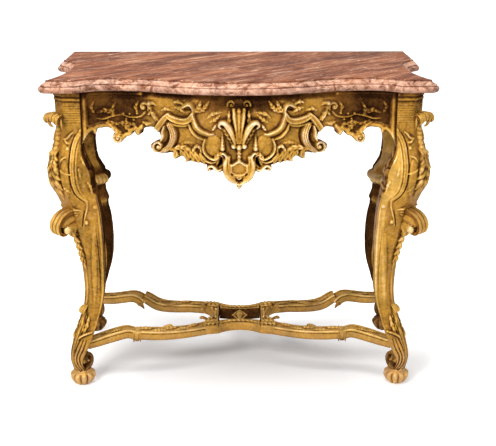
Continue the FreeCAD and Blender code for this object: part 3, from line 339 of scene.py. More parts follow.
# Height of a ridge by its offset across, from -1 to 1, and by its reach from the line, from 0 to 1
PROFILES = {
    "round": lambda q, r: np.sqrt(1 - r**2),
    "fillet": lambda q, r: np.sqrt(1 - r**6),
    "gutter": lambda q, r: np.sqrt(1 - r**8) * (0.55 + 0.45 * np.abs(q) ** 1.5),
    "rolled": lambda q, r: np.sqrt(1 - r**4) * (0.62 + 0.38 * q),
    "reeds": lambda q, r: np.sqrt(1 - r**4) * (0.8 + 0.2 * np.cos(3 * np.pi * q)),
}


class Relief:
    """A sheet of carved heights; d runs down from the marble, or up from the floor on the legs."""

    def __init__(self, xs, ds):
        self.xs, self.ds = xs, ds
        self.x, self.d = np.meshgrid(xs, ds)
        self.h = np.zeros_like(self.x)

    def patch(self, line, pad):
        """Rows and columns of the sheet around a line."""
        low, high = line.min(0) - pad, line.max(0) + pad
        columns = np.nonzero((self.xs >= low[0]) & (self.xs <= high[0]))[0]
        rows = np.nonzero((self.ds >= low[1]) & (self.ds <= high[1]))[0]
        return slice(rows[0], rows[-1] + 1), slice(columns[0], columns[-1] + 1)

    def along(self, points, widths):
        """Where each point of the patch lies beside a line: share along, offset across and reach."""
        line = smooth_line(points)
        half = spread(widths, np.linspace(0, 1, len(line))) / 2
        patch = self.patch(line, half.max() * 1.2 + 1)
        x, d = self.x[patch], self.d[patch]
        gap = (x[..., None] - line[:, 0]) ** 2 + (d[..., None] - line[:, 1]) ** 2
        near = gap.argmin(-1)
        heading = np.gradient(line, axis=0)
        heading /= np.linalg.norm(heading, axis=1)[:, None] + 1e-9
        dx, dd = x - line[near, 0], d - line[near, 1]
        across = (dx * heading[near, 1] - dd * heading[near, 0]) / half[near]
        beyond = (dx * heading[near, 0] + dd * heading[near, 1]) / half[near]
        reach = np.hypot(across, beyond)
        return patch, near / (len(line) - 1), across, reach

    def raise_to(self, patch, inside, height):
        """Lifts what lies lower up to a height."""
        sheet = self.h[patch]
        sheet[inside] = np.maximum(sheet[inside], height[inside])

    def ridge(self, points, widths, heights, profile="round", base=0):
        """A raised band along a line."""
        patch, share, across, reach = self.along(points, widths)
        r = np.clip(reach, 0, 1)
        q = np.clip(across, -1, 1)
        height = base + spread(heights, share) * PROFILES[profile](q, r)
        self.raise_to(patch, reach < 1, height)

    def leaf(self, points, widths, heights, lobes):
        """A leaf with scalloped edges, a sunk middle vein and veins to its lobes."""
        patch, share, across, reach = self.along(points, widths)
        q = np.abs(across)
        wave = np.cos(2 * np.pi * (lobes * share - 0.55 * q))
        edge = 0.84 + 0.16 * wave
        r = reach / edge
        crown = np.sqrt(np.clip(1 - r**2.6, 0, 1))
        height = spread(heights, share) * crown * (0.82 + 0.18 * wave)
        height = height - 0.22 * spread(heights, share) * np.exp(-((across / 0.13) ** 2))
        self.raise_to(patch, r < 1, height)

    def groove(self, points, widths, depth):
        """A sunk band along a line."""
        patch, _, _, reach = self.along(points, widths)
        sheet = self.h[patch]
        sheet -= depth * np.where(reach < 1, (1 - np.clip(reach, 0, 1) ** 2) ** 1.5, 0)

    def bead(self, x, d, radius, height, base=0, tall=1.0):
        """A round boss, or an oval one if it is taller than one."""
        line = np.array([[x, d]])
        patch = self.patch(line, radius * max(1, tall) + 1)
        r = np.hypot(self.x[patch] - x, (self.d[patch] - d) / tall) / radius
        self.raise_to(patch, r < 1, base + height * dome(r))


def edge_distance(x, d, loop):
    """Distance of points from the edge of a closed loop, below zero outside it."""
    px, pd = x.ravel(), d.ravel()
    best = np.full(px.shape, 1e9)
    inside = np.zeros(px.shape, bool)
    a = np.array(loop, float)
    for (ax, ad), (bx, bd) in zip(a, np.roll(a, -1, 0)):
        ux, ud = bx - ax, bd - ad
        square = ux * ux + ud * ud
        if square < 1e-12:
            continue
        t = np.clip(((px - ax) * ux + (pd - ad) * ud) / square, 0, 1)
        best = np.minimum(best, (px - ax - t * ux) ** 2 + (pd - ad - t * ud) ** 2)
        crosses = (ad > pd) != (bd > pd)
        if crosses.any():
            inside ^= crosses & (px < ux * (pd - ad) / ud + ax)
    return (np.sqrt(best) * np.where(inside, 1, -1)).reshape(x.shape)


def make_piece(name, mesh, replaced, finish=gold, sharp=62):
    """A piece in the frame from millimetre points, faces and the shade of each point, if it has shades."""
    points, faces, shades = mesh
    data = bpy.data.meshes.new(name)
    points = np.asarray(points, float) / 1000
    data.from_pydata(points.tolist(), [], [tuple(map(int, f)) for f in faces])
    if shades is not None:
        layer = data.attributes.new("painted_light_and_shade", "FLOAT", "POINT")
        layer.data.foreach_set("value", np.asarray(shades, np.float32).ravel())
    data.polygons.foreach_set("use_smooth", [True] * len(data.polygons))
    data.materials.append(finish)
    data.update()
    data.set_sharp_from_angle(angle=math.radians(sharp))
    piece = bpy.data.objects.new(name, data)
    bpy.context.scene.collection.objects.link(piece)
    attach(piece, "root")
    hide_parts(*replaced)


def turned(faces):
    """Faces that look the other way."""
    return [tuple(f)[::-1] for f in faces]


def flipped(mesh, x=1, y=1):
    """A mesh mirrored left to right if x is -1 and front to back if y is -1."""
    points, faces, shades = mesh
    return points * (x, y, 1), turned(faces) if x * y < 0 else faces, shades


def make_pair(name, mesh, node):
    """A left piece and its mirror image on the right, each in place of the node on its side."""
    make_piece(name + "_left", mesh, [node + "_left"])
    make_piece(name + "_right", flipped(mesh, x=-1), [node + "_right"])


def mirrored(field):
    """The left half of a sheet's values with its mirror image."""
    return np.hstack([field, field[:, -2::-1]])


def whole(sheet):
    """Both halves of a carved sheet that ends at the middle."""
    both = Relief(np.concatenate([sheet.xs, -sheet.xs[-2::-1]]), sheet.ds)
    both.h = mirrored(sheet.h)
    return both


def finish_carving(sheet, rim, punch):
    """Punched ground between the carving, and a rounded rim; rim is the distance from the edge."""
    ground = np.clip(1 - sheet.h / 3, 0, 1)
    sheet.h += ground * punch * np.sin(sheet.x * 1.1) * np.sin(sheet.d * 1.1)
    sheet.h = soften(sheet.h, 1)
    rounding = np.clip(rim / 4, 0, 1)
    sheet.h = np.clip(sheet.h, -24, 3 + 30 * rounding) - 3 * (1 - np.sqrt(1 - (1 - rounding) ** 2))


def cove(sheet, depth):
    """Cuts a hollow along the top of a sheet, under the marble."""
    sheet.h -= depth * np.clip(1 - np.abs(sheet.d - COVE_DROP) / COVE_REACH, 0, 1) ** 0.6


def hollow_shade(h, near=4, far=14, gain=1.0):
    """How light a carved sheet looks at each point: crests above a half, hollows below."""
    close, wide = h - soften(h, far), soften(h, near) - soften(h, 6 * far)
    return np.clip(0.46 + gain * (0.07 * close + 0.04 * wide), 0, 1)


def plank(sheet, inside, place, thickness, shade, under=0.2):
    """Closed mesh of a carved plank: front with heights, edge walls and back.

    place(x, d, out) gives the point of the plank's face at a height above it.
    """
    h, xs, ds = sheet.h, sheet.xs, sheet.ds
    step = np.median(np.diff(xs))
    kept = inside > -0.5 * step
    cells = kept[:-1, :-1] & kept[1:, :-1] & kept[:-1, 1:] & kept[1:, 1:]
    rows, columns = np.nonzero(cells)
    wide = len(xs)
    corner = rows * wide + columns
    quads = np.stack([corner, corner + wide, corner + wide + 1, corner + 1], 1)
    used = np.unique(quads)
    index = np.full(h.size, -1)
    index[used] = np.arange(len(used))
    quads = index[quads]
    edges = np.concatenate([quads[:, [k, (k + 1) % 4]] for k in range(4)])
    code = edges.min(1).astype(np.int64) * len(used) + edges.max(1)
    _, first, counts = np.unique(code, return_index=True, return_counts=True)
    rim = edges[first[counts == 1]]
    border = np.unique(rim)
    x, d = sheet.x.ravel()[used].copy(), sheet.d.ravel()[used].copy()
    slope_d, slope_x = np.gradient(inside, ds, xs)
    away = inside.ravel()[used[border]]
    sx, sd = slope_x.ravel()[used[border]], slope_d.ravel()[used[border]]
    norm = np.maximum(sx**2 + sd**2, 0.3)
    x[border] -= away * sx / norm
    d[border] -= away * sd / norm
    front = place(x, d, h.ravel()[used])
    back = place(x, d, np.full(len(used), -thickness))
    count = len(used)
    faces = [*quads, *(quads[:, ::-1] + count)]
    walls = np.stack([rim[:, 1], rim[:, 0], rim[:, 0] + count, rim[:, 1] + count], 1)
    faces += [*walls]
    light = shade.ravel()[used]
    return np.vstack([front, back]), faces, np.concatenate([light, (under + 0 * shade).ravel()[used]])


# Serpentine front shared by the marble and the apron

BOW_FRONT = -295
BOW_DEPTH = 73
RECESS_X = 350
RECESS_Y = BOW_FRONT + BOW_DEPTH
HOLLOW_SHARE = 0.38
EAR_RUN, EAR_RISE = 90, 40
bow_radii = (RECESS_X**2 + BOW_DEPTH**2) / (2 * BOW_DEPTH)
hollow_radius = HOLLOW_SHARE * bow_radii
bulge_radius = bow_radii - hollow_radius
ear_radius = (EAR_RUN**2 + EAR_RISE**2) / (2 * EAR_RISE)
turn_x = RECESS_X * (1 - HOLLOW_SHARE)


def front_y(x, inset):
    """Front of the marble moved back by an inset."""
    reach = np.abs(x)
    bulge = bulge_radius - inset
    middle = BOW_FRONT + bulge_radius - np.sqrt(np.maximum(bulge**2 - reach**2, 0))
    side = (reach - RECESS_X) ** 2
    hollow = RECESS_Y - hollow_radius + np.sqrt(np.maximum((hollow_radius + inset) ** 2 - side, 0))
    ear = RECESS_Y - ear_radius + np.sqrt(np.maximum((ear_radius + inset) ** 2 - side, 0))
    outside = np.where(reach <= RECESS_X, hollow, ear)
    return np.where(reach <= turn_x * bulge / bulge_radius, middle, outside)


def on_apron(x, d, out):
    """Point of the apron's face at a drop below the marble and a height above the face."""
    slope = front_y(x + 0.5, APRON_INSET) - front_y(x - 0.5, APRON_INSET)
    norm = np.hypot(slope, 1)
    return np.stack([x + out * slope / norm, front_y(x, APRON_INSET) - out / norm, MARBLE_UNDER - d], 1)


# Front apron

APRON_END = 437
# Lower edge of the left half: place across and drop below the marble
APRON_EDGE = [(-APRON_END, 155), (-432, 136), (-424, 122), (-413, 113), (-408, 114), (-404, 122),
              (-399, 121), (-397, 110), (-390, 106), (-364, 105), (-353, 111), (-348, 120), (-353, 127),
              (-356, 135), (-351, 145), (-342, 149), (-331, 147), (-323, 139), (-314, 131), (-303, 127),
              (-296, 117), (-291, 116), (-287, 123), (-282, 127), (-276, 122), (-273, 112), (-262, 104),
              (-244, 101), (-230, 106), (-222, 116), (-219, 130), (-224, 139), (-236, 142), (-246, 149),
              (-248, 158), (-242, 166), (-230, 170), (-216, 171), (-204, 172), (-192, 169), (-185, 170),
              (-180, 183), (-174, 185), (-169, 178), (-158, 175), (-150, 180), (-147, 191), (-140, 190),
              (-130, 188), (-122, 191), (-114, 193), (-108, 192), (-98, 196), (-90, 197), (-90, 206),
              (-85, 215), (-76, 212), (-70, 211), (-62, 217), (-54, 218), (-46, 214), (-42, 222),
              (-36, 233), (-28, 241), (-18, 247), (-10, 250), (-6, 258), (0, 264)]
left_edge = smooth_line(APRON_EDGE, 2.0)
right_edge = left_edge[::-1] * (-1, 1)
apron_loop = np.vstack([[(-APRON_END, 0)], left_edge, right_edge[1:], [(APRON_END, 0)]])

half = np.concatenate([np.arange(-APRON_END, -250, 2.25), np.arange(-250, 0.1, 1.66)])
half[-1] = 0
cut = Relief(half, np.arange(0, 264.8, 1.66))
rim = edge_distance(cut.x, cut.d, apron_loop)

# Cove under the marble, fillet beside the post and moulded arches
cove(cut, 5)
cut.ridge([(-428, -2), (-428, 96)], 12, 5, "fillet")
band = dome((rim - 7) / 6.5) * 8
cut.h = np.where(cut.x < -268, np.maximum(cut.h, band), cut.h)
inner_band = dome((rim - 15.5) / 2.5) * 4
cut.h = np.where(cut.x < -362, np.maximum(cut.h, inner_band), cut.h)

# Sprays between the post and the middle
cut.leaf([(-366, 84), (-358, 100), (-346, 112), (-332, 118)], [8, 18, 18, 8], [6, 10, 11, 8], 4)
cut.ridge(volute(-339, 135, 14, 4, 130, -1.3), [8, 8, 6, 5], [13, 17, 17, 15])
cut.bead(-339, 135, 5, 19)
cut.ridge([(-372, 90), (-360, 97), (-352, 108), (-350, 122)], [4, 7, 8, 7], [8, 12, 14, 13])
cut.leaf([(-345, 118), (-332, 128), (-322, 140)], [8, 16, 6], 12, 3)
cut.leaf([(-330, 92), (-312, 104), (-300, 125)], [8, 20, 8], [5, 10, 8], 3)
cut.leaf([(-296, 92), (-288, 104), (-283, 126)], [8, 16, 8], [6, 11, 9], 3)
cut.ridge([(-326, 68), (-310, 73), (-292, 75), (-272, 71), (-259, 58)], [3, 5, 6, 6, 5], [6, 8, 9, 9, 8])
cut.ridge(volute(-262, 44, 15, 5, -40, -0.9), [6, 8, 7], [9, 13, 12])
cut.bead(-262, 44, 6, 14)
for x, d, r in ((-322, 66, 4), (-314, 80, 3.5), (-304, 66, 3.5), (-293, 82, 3.5), (-283, 64, 4)):
    cut.bead(x, d, r, 9)
cut.leaf([(-250, 66), (-241, 58), (-232, 70), (-222, 80)], [6, 14, 13, 5], 11, 3)
cut.leaf([(-252, 40), (-240, 32), (-229, 38)], [6, 13, 5], 9, 2)
cut.leaf([(-282, 60), (-286, 46), (-280, 32)], [6, 14, 5], 9, 3)
cut.leaf([(-350, 68), (-372, 56), (-392, 62)], [10, 18, 6], [8, 9, 5], 4)
cut.leaf([(-348, 72), (-352, 52), (-344, 36)], [8, 15, 5], [8, 9, 5], 3)
cut.ridge([(-396, 78), (-378, 80), (-358, 74), (-340, 70), (-326, 68)], [3, 5, 6, 5, 4], [5, 8, 9, 8, 6])
cut.leaf([(-404, 60), (-410, 44), (-402, 30)], [6, 12, 4], 6, 3)
cut.bead(-246, 34, 7.5, 15)
cut.bead(-244, 46, 5, 12)
cut.ridge([(-243, 50), (-238, 64), (-228, 82)], [5, 8, 5], [10, 12, 9])
cut.leaf([(-300, 96), (-316, 90), (-334, 92)], [8, 18, 6], [7, 10, 6], 3)
cut.leaf([(-268, 88), (-256, 92), (-242, 90)], [6, 14, 5], [7, 10, 6], 3)
cut.leaf([(-338, 96), (-356, 92), (-376, 96)], [7, 15, 5], [6, 9, 5], 3)
cut.leaf([(-214, 52), (-200, 46), (-186, 50)], [5, 14, 5], [6, 9, 6], 3)
cut.leaf([(-152, 30), (-166, 24), (-182, 28)], [5, 13, 4], [8, 10, 6], 3)

# Panel frame: crest bars with their hollow second bands
cut.ridge([(-228, 106), (-217, 91), (-205, 75), (-193, 63)], [17, 18, 17, 14], [12, 15, 16, 16], "gutter")
cut.ridge([(-195, 63), (-186, 69), (-173, 74), (-158, 77), (-145, 76), (-134, 70), (-126, 56)],
          [12, 16, 18, 18, 17, 14, 9], [16, 18, 18, 18, 18, 19, 21], "gutter")
cut.ridge([(-198, 86), (-184, 87), (-164, 90), (-146, 89), (-137, 84)], [6, 10, 10, 9, 5], [8, 10, 10, 9, 7])
cut.ridge([(-126, 56), (-124, 76), (-118, 92), (-106, 103), (-92, 109), (-80, 112), (-70, 110)],
          [9, 17, 19, 19, 17, 14, 8], [21, 18, 18, 18, 18, 17, 15], "rolled")
cut.ridge([(-137, 82), (-131, 100), (-118, 116), (-103, 124), (-92, 127)], [5, 10, 11, 9, 4], [7, 9, 9, 8, 5])

# C scroll with its hollow and spiral end
outer_c = [(-188, 90), (-181, 106), (-179, 122), (-184, 140), (-196, 156), (-211, 165)]
cut.ridge(outer_c + volute(-222, 154, 19, 5, -62, 1.25), [18, 18, 17, 14, 11, 8, 6, 5],
          [16, 18, 19, 19, 18, 18, 18, 16], "reeds")
cut.bead(-221, 154, 6.5, 19)
cut.ridge([(-205, 96), (-209, 110), (-210, 126), (-216, 138)], [7, 11, 11, 6], [12, 13, 13, 10])
cut.groove([(-199, 98), (-195, 116), (-198, 134), (-207, 146)], [8, 13, 12, 8], 7)
cut.groove([(-171, 94), (-167, 112), (-170, 132), (-180, 152)], [4, 7, 7, 4], 4)

# Panel ground and leaf spray along its lower edge
cut.leaf([(-188, 160), (-172, 153), (-154, 150), (-138, 156), (-131, 166)], [8, 15, 17, 16, 7],
         [11, 14, 14, 12, 8], 4)
for root, tip, w in (
    ((-176, 157), (-182, 187), 19), ((-160, 157), (-161, 180), 17), ((-148, 158), (-146, 194), 20),
    ((-134, 160), (-128, 192), 19), ((-120, 164), (-113, 196), 18), ((-106, 168), (-96, 198), 18),
):
    middle = ((root[0] + tip[0]) / 2 + 4, (root[1] + tip[1]) / 2)
    cut.leaf([root, middle, tip], [w * 0.7, w, w * 0.5], [9, 13, 9], 1)
cut.leaf([(-126, 172), (-125, 156), (-116, 145), (-106, 150), (-103, 168)], [6, 9, 10, 9, 6],
         [8, 12, 14, 12, 8], 5)
cut.leaf([(-160, 142), (-142, 136), (-122, 138)], [5, 12, 5], [4, 6, 4], 4)

# Ring, oval ground, bud drop and the leaves around them
oval = np.hypot((cut.x + 70) / 24, (cut.d - 142) / 30)
cut.h = np.where(oval < 1, np.maximum(cut.h, 5 * dome(oval) + 2), cut.h)
cut.ridge([(-92, 124), (-97, 140), (-96, 157), (-88, 170), (-75, 179), (-63, 180), (-55, 173)],
          [5, 8, 9, 9, 8, 8, 6], [8, 12, 13, 13, 13, 13, 11])
cut.ridge([(-104, 168), (-98, 178), (-86, 187), (-73, 190), (-62, 186)], [4, 7, 8, 7, 4], [8, 11, 12, 11, 8])
cut.leaf([(-66, 176), (-58, 168), (-50, 160)], [8, 14, 7], [12, 16, 13], 2)
for d, r in ((111, 2), (117, 3), (124, 4), (131, 4.5), (139, 6), (149, 7.5)):
    cut.bead(-45, d, r, 8 + 0.9 * r, tall=1.15)

# Horn, leaves beside the palmette and the upper lobes
cut.ridge([(-125, 60), (-122, 45), (-127, 32), (-138, 28), (-152, 36), (-163, 45)],
          [8, 10, 12, 14, 11, 4], [17, 18, 18, 17, 13, 8], "rolled")
cut.groove([(-132, 44), (-146, 46)], [9, 11], 5)
cut.leaf([(-178, 40), (-164, 42), (-150, 52)], [5, 15, 5], [6, 10, 7], 3)
cut.leaf([(-126, 52), (-114, 44), (-106, 32), (-104, 20)], [8, 17, 16, 6], [10, 14, 14, 10], 4)
cut.leaf([(-110, 50), (-98, 42), (-88, 30), (-82, 20)], [7, 15, 15, 6], [9, 13, 13, 9], 4)
cut.leaf([(-86, 66), (-76, 56), (-62, 51), (-47, 49)], [5, 13, 12, 4], [5, 8, 8, 5], 3)
cut.leaf([(-80, 78), (-66, 70), (-52, 58)], [6, 14, 6], [4, 8, 6], 3)
cut.leaf([(-72, 98), (-66, 90), (-61, 82)], [6, 11, 5], [10, 15, 12], 2)

# Palmette: flute of three reeds, ears, plumes and binding
cut.ridge([(0, 30), (0, 40), (0, 88), (0, 132)], [36, 38, 25, 14], [11, 14, 14, 13], "fillet")
for side in (-1, 0, 1):
    cut.ridge([(13.5 * side, 38), (12 * side, 62), (8 * side, 96), (4.5 * side, 132)], [9, 9, 7, 5],
              [5, 6, 6, 5], base=13)
cut.bead(0, 43, 6, 7, base=14)
cut.ridge(volute(-20, 25, 11, 4, 200, 1.0), [7, 7, 5], [14, 16, 14])
cut.bead(-20, 25, 4, 16)
cut.leaf([(-6, 30), (-10, 20), (-4, 12)], [6, 10, 5], [13, 14, 10], 2)
cut.leaf([(-22, 92), (-27, 68), (-26, 46)], [6, 13, 7], [10, 12, 10], 3)
cut.ridge([(-10, 136), (-16, 114), (-25, 93), (-36, 79), (-47, 76), (-53, 84), (-48, 91)],
          [9, 14, 18, 20, 18, 13, 8], [18, 24, 28, 30, 28, 23, 17])
cut.groove([(-11, 128), (-17, 108), (-26, 90), (-36, 80)], [3, 4, 4, 3], 4)
cut.leaf([(-18, 136), (-28, 116), (-38, 98), (-48, 92)], [6, 13, 14, 7], [10, 13, 14, 11], 4)
cut.bead(-14, 141, 7.5, 15, base=8)
cut.bead(0, 143, 8.5, 17, base=8)
cut.leaf([(0, 148), (0, 160), (0, 174), (0, 190)], [10, 13, 11, 18], [19, 17, 15, 14], 4)

# Cheeks, shield and tip
cut.ridge([(-34, 176), (-36, 168), (-44, 162), (-49, 168), (-44, 172)], [8, 8, 8, 6, 4], [14, 16, 16, 14, 12])
cut.ridge([(-31, 172), (-36, 186), (-37, 204), (-33, 222), (-22, 237), (-8, 246)],
          [9, 15, 18, 19, 18, 14], [13, 15, 15, 15, 14, 13])
cut.ridge([(-26, 172), (-28, 190), (-27, 210), (-22, 226), (-10, 238)], [5, 8, 8, 8, 6], [11, 13, 13, 13, 12])
# Field of the shield with a cusped top, straight sides and a rounded foot
across, down = np.abs(cut.x), cut.d
top_of = 192 - 5 * np.cos(np.pi * np.clip(across / 20, 0, 1))
foot_of = 222 - 10 * np.clip(across / 20, 0, 1) ** 3
within = np.minimum.reduce([20 - across, down - top_of, foot_of - down])
lip = 15 * dome((within + 1.5) / 5)
cut.h = np.where(within > -6, np.maximum(cut.h, lip), cut.h)
cut.h = np.where(within > 2, 8 + 1.5 * np.clip(within / 8, 0, 1), cut.h)
cut.leaf([(-16, 226), (0, 231), (16, 226)], [9, 13, 9], [13, 17, 13], 3)
cut.groove([(-9, 239), (0, 241)], [4, 6], 8)
cut.ridge([(-16, 244), (-8, 248), (0, 250)], [6, 8, 10], [13, 16, 17])
cut.bead(0, 256, 7, 15, tall=1.2)
cut.groove([(-58, 200), (-52, 192), (-49, 178)], [6, 13, 6], 26)
cut.ridge([(-88, 212), (-84, 203), (-75, 199), (-66, 205), (-58, 212), (-48, 208)], [6, 9, 9, 9, 8, 5],
          [10, 13, 14, 14, 13, 10])
cut.bead(-80, 210, 4, 13)

finish_carving(cut, rim, 0.5)

# Shade: under the marble, in the corner by the post, behind the palmette's top, on the tip and in the slots
under_marble = np.clip(1 - cut.d / 28, 0, 1)
shaded = 0.40 * under_marble
shaded += 0.30 * rise(-cut.x, 248, 40) * fall(cut.d, 125, 50)
shaded += 0.44 * rise(cut.x, -120, 60) * fall(cut.d, 52, 24) * (1 - under_marble)
shaded += 0.24 * rise(cut.d, 243, 10)
shaded += 0.4 * rise(-cut.h, 3, 6)
apron_light = mirrored(np.clip(hollow_shade(cut.h) - shaded, 0, 1))
apron = plank(whole(cut), mirrored(rim), on_apron, APRON_THICKNESS, apron_light)
CARVED = ["front_apron", "palmette_flute", "palmette_binding", "cartouche_stem", "shield", "shield_lip"]
for name in ("crest_bars", "c_scroll", "ring_scroll", "low_scroll", "palmette_plume", "cheek_scroll"):
    CARVED += [name + "_left", name + "_right"]
make_piece("carved_front_apron", apron, CARVED)


# Legs: a section of six sides drawn at each height, with carving laid on its faces

# A section is square to the table, and its front edge lies this far along y from its left edge along x
FRONT_SHIFT = 278
DIAGONAL = 0.7071
OUTWARD = np.array([-DIAGONAL, -DIAGONAL, 0])
SIDEWAYS = np.array([DIAGONAL, -DIAGONAL, 0])
UP = np.array([0, 0, 1.0])
LEG_FOOT = 42
ANKLE = 78
FOOT_X = -475
KNEE_X = -486.5
KNEE = np.array([KNEE_X, KNEE_X + FRONT_SHIFT, 511])
# Faces of the section, in turn from the canted corner of the front left leg
CANTED, FRONT, MIDDLE, INNER, REAR, OUTER = range(6)

# Sections from the top down: height, left edge, inner edge, depth of the inner flank, size of the cant
LEG_ROWS = [(895, -512, -437, 73, 26), (884, -511, -437, 73, 26), (840, -510, -437, 73, 26),
            (790, -511, -437, 73, 27), (760, -516, -439, 72, 30), (740, -522, -440, 72, 32),
            (720, -528, -436, 72, 34), (700, -533, -427, 73, 37), (680, -536, -416, 74, 40),
            (660, -537, -411, 74, 42), (640, -535, -411, 74, 43), (620, -530, -408, 73, 43),
            (600, -523, -404, 73, 42), (580, -516, -402, 72, 41), (560, -509, -400, 71, 40),
            (540, -504, -398, 69, 38), (510, -499, -397, 67, 36), (470, -489, -396, 64, 33),
            (440, -481, -396, 61, 30), (410, -473, -398, 57, 27), (380, -467, -399, 54, 25),
            (330, -462, -400, 52, 22), (290, -461, -402, 50, 20), (250, -465, -409, 47, 18),
            (215, -472, -420, 44, 16), (180, -483, -429, 44, 15), (150, -495, -440, 45, 14),
            (130, -502, -448, 44, 14), (112, -506, -456, 40, 14), (96, -507, -466, 32, 13),
            (78, -506, -472, 28, 12), (60, -502, -470, 27, 12), (42, -497, -460, 32, 12)]
leg_rows = np.array(LEG_ROWS[::-1], float)
leg_z = np.concatenate([np.arange(LEG_FOOT, MARBLE_UNDER, 2.15), [MARBLE_UNDER]])


def through_rows(column):
    """Smooth run of one measure of the section over the leg's height."""
    run = np.interp(leg_z, leg_rows[:, 0], leg_rows[:, column])
    padded = np.pad(run, 12, mode="reflect", reflect_type="odd")
    weights = np.hanning(27)[1:-1]
    return np.convolve(padded, weights / weights.sum(), "valid")


left, inner, flank, cant = (through_rows(k) for k in (1, 2, 3, 4))
width = inner - left
# Bare inner edge of a back leg: post, plate and roll of a scroll, hollow and curl above the shank
BACK_EDGE = [(895, -440), (790, -440), (740, -447), (700, -452), (668, -454), (618, -451), (597, -445),
             (577, -432), (568, -425), (558, -423), (555, -413), (549, -407), (541, -405), (533, -407),
             (527, -413), (522, -421), (512, -424), (494, -422), (478, -415), (469, -412), (462, -416),
             (448, -415), (428, -409), (408, -405), (383, -402), (345, -400), (290, -402)]
edge_z, edge_x = np.array(BACK_EDGE[::-1], float).T
back_inner = np.where(leg_z >= edge_z[0], np.interp(leg_z, edge_z, edge_x), inner)
# Painted light and shade of a back leg's faces by height: towards the middle, across its inner corner and
# towards the front
BACK_PAINTED_LIGHT = {
    MIDDLE: ([290, 520, 895], [0.12, 0.18, 0.16]),
    INNER: (
        [290, 445, 458, 468, 478, 490, 522, 528, 536, 548, 555, 559, 568, 587, 612, 650, 710, 895],
        [0.10, 0.13, 0.30, 0.50, 0.34, 0.16, 0.14, 0.42, 0.62,
         0.68, 0.54, 0.16, 0.24, 0.52, 0.46, 0.30, 0.15, 0.10],
    ),
    REAR: ([150, 300, 430, 470, 560, 700, 760, 895], [0.38, 0.46, 0.52, 0.58, 0.62, 0.52, 0.34, 0.25]),
}

# Front face of the leg, which the side face mirrors across the corner
face = Relief(np.arange(-546, -392, 1.4), np.arange(40, 897, 1.6))
face.ridge([(-530, 889), (-430, 889)], 12, 2.5, "fillet")
face.ridge([(-530, 875), (-430, 875)], 7, 2)
face.groove([(-530, 868), (-430, 868)], 5, 2)
reeding = rise(face.d, 803, 6) * fall(face.d, 864, 6)
face.h += reeding * 1.1 * np.sin(2 * np.pi * face.d / 6.6) * rise(face.x, -506, 6)
face.ridge([(-497, 752), (-498, 761), (-491, 767), (-482, 766), (-474, 769), (-467, 778), (-459, 784)],
           [4, 6, 7, 6, 7, 6, 4], [4, 6, 6, 5, 6, 6, 4])
face.leaf([(-484, 766), (-478, 757), (-470, 754)], [4, 8, 3], [5, 7, 4], 2)
face.bead(-476, 740, 5, 4)
s_line = [(-436, 787), (-447, 774), (-454, 759), (-459, 742), (-463, 715), (-465, 690), (-464, 660),
          (-461, 635), (-454, 612), (-442, 596), (-430, 586)]
face.ridge(s_line, [13, 12, 12, 11, 10, 8], [5, 5.5, 5.5, 5, 5, 4], "gutter")
face.groove([(x - 8, z - 1) for x, z in s_line], [4, 5, 5, 4], 4)
face.ridge([(-430, 586), (-431, 566), (-437, 546), (-444, 524), (-446, 506)], [6, 6, 6, 6, 4],
           [3, 4, 4, 4, 3])
face.groove([(-440, 555), (-444, 535), (-449, 505)], [4, 6, 3], 5)
face.bead(-437, 517, 6, 6, tall=1.2)
face.ridge([(x + 11, z - 1) for x, z in s_line[2:-1]], [3, 5, 5, 5, 5, 3], [1.5, 2.5, 2.5, 2.5, 2, 1])
face.leaf([(-447, 684), (-444, 670), (-442, 656)], [4, 8, 3], [2, 4, 2], 2)
face.leaf([(-424, 644), (-417, 630), (-415, 614)], [5, 10, 4], [3, 6, 3], 3)
face.leaf([(-440, 716), (-434, 704), (-430, 690)], [4, 9, 3], [2, 4, 2], 2)
face.bead(-409, 567, 7, 4)
swell = np.hypot((face.x + 489) / 17, (face.d - 652) / 62)
face.h += 5 * dome(swell)
face.ridge([(-514, 724), (-508, 704), (-501, 688), (-491, 677), (-480, 671), (-468, 669)],
           [5, 7, 7, 6, 6, 4], [7, 8, 8, 8, 7, 5])
face.ridge([(-499, 694), (-496, 706), (-489, 714), (-481, 717)], [4, 6, 5, 3], [5, 6, 6, 3])
face.leaf([(-492, 640), (-484, 626), (-474, 616)], [5, 12, 4], [6, 9, 5], 3)
face.leaf([(-504, 716), (-511, 680), (-512, 645), (-508, 612), (-503, 596)], [8, 22, 28, 22, 8],
          [4, 7, 8, 7, 3], 4)
face.ridge([(-514, 606), (-502, 592), (-486, 575), (-470, 562), (-452, 556)], [5, 7, 8, 7, 4],
           [5, 8, 9, 8, 4], "rolled")
# Fan of the knee scroll and the leaf that hangs from it
for shift, lift in ((0, 7), (9, 8), (18, 7)):
    face.ridge([(-450 - 0.6 * shift, 556 - 0.7 * shift), (-466, 558 - shift), (-482, 557 - 1.1 * shift),
                (-500, 553 - 1.1 * shift)], [4, 9, 11, 12], [3, lift, lift + 3, lift + 6])
face.leaf([(-482, 490), (-483, 466), (-476, 436), (-467, 404), (-462, 378)], [14, 24, 22, 15, 5],
          [9, 11, 10, 8, 3], 6)
face.groove([(-474, 486), (-466, 440), (-457, 395), (-453, 352)], [5, 6, 5, 2], 5)
# Mouldings of the shank
face.ridge([(-401, 575), (-399, 500), (-400, 420), (-403, 340), (-408, 270), (-424, 200), (-436, 172)],
           [7, 9, 9, 9, 8, 7, 4], [2, 3, 3, 3, 3, 3, 1])
face.groove([(-412, 500), (-411, 420), (-411, 340), (-414, 290)], [2, 4, 4, 2], 3)
face.ridge([(-455, 372), (-455, 320), (-457, 270), (-463, 246)], [5, 8, 8, 4], [2, 4, 4, 2])
face.groove([(-445, 350), (-446, 300), (-450, 250)], [2, 4, 2], 2)
face.ridge([(-420, 480), (-425, 400), (-428, 320), (-432, 250)], [6, 16, 16, 6], [1, 3, 3, 1])
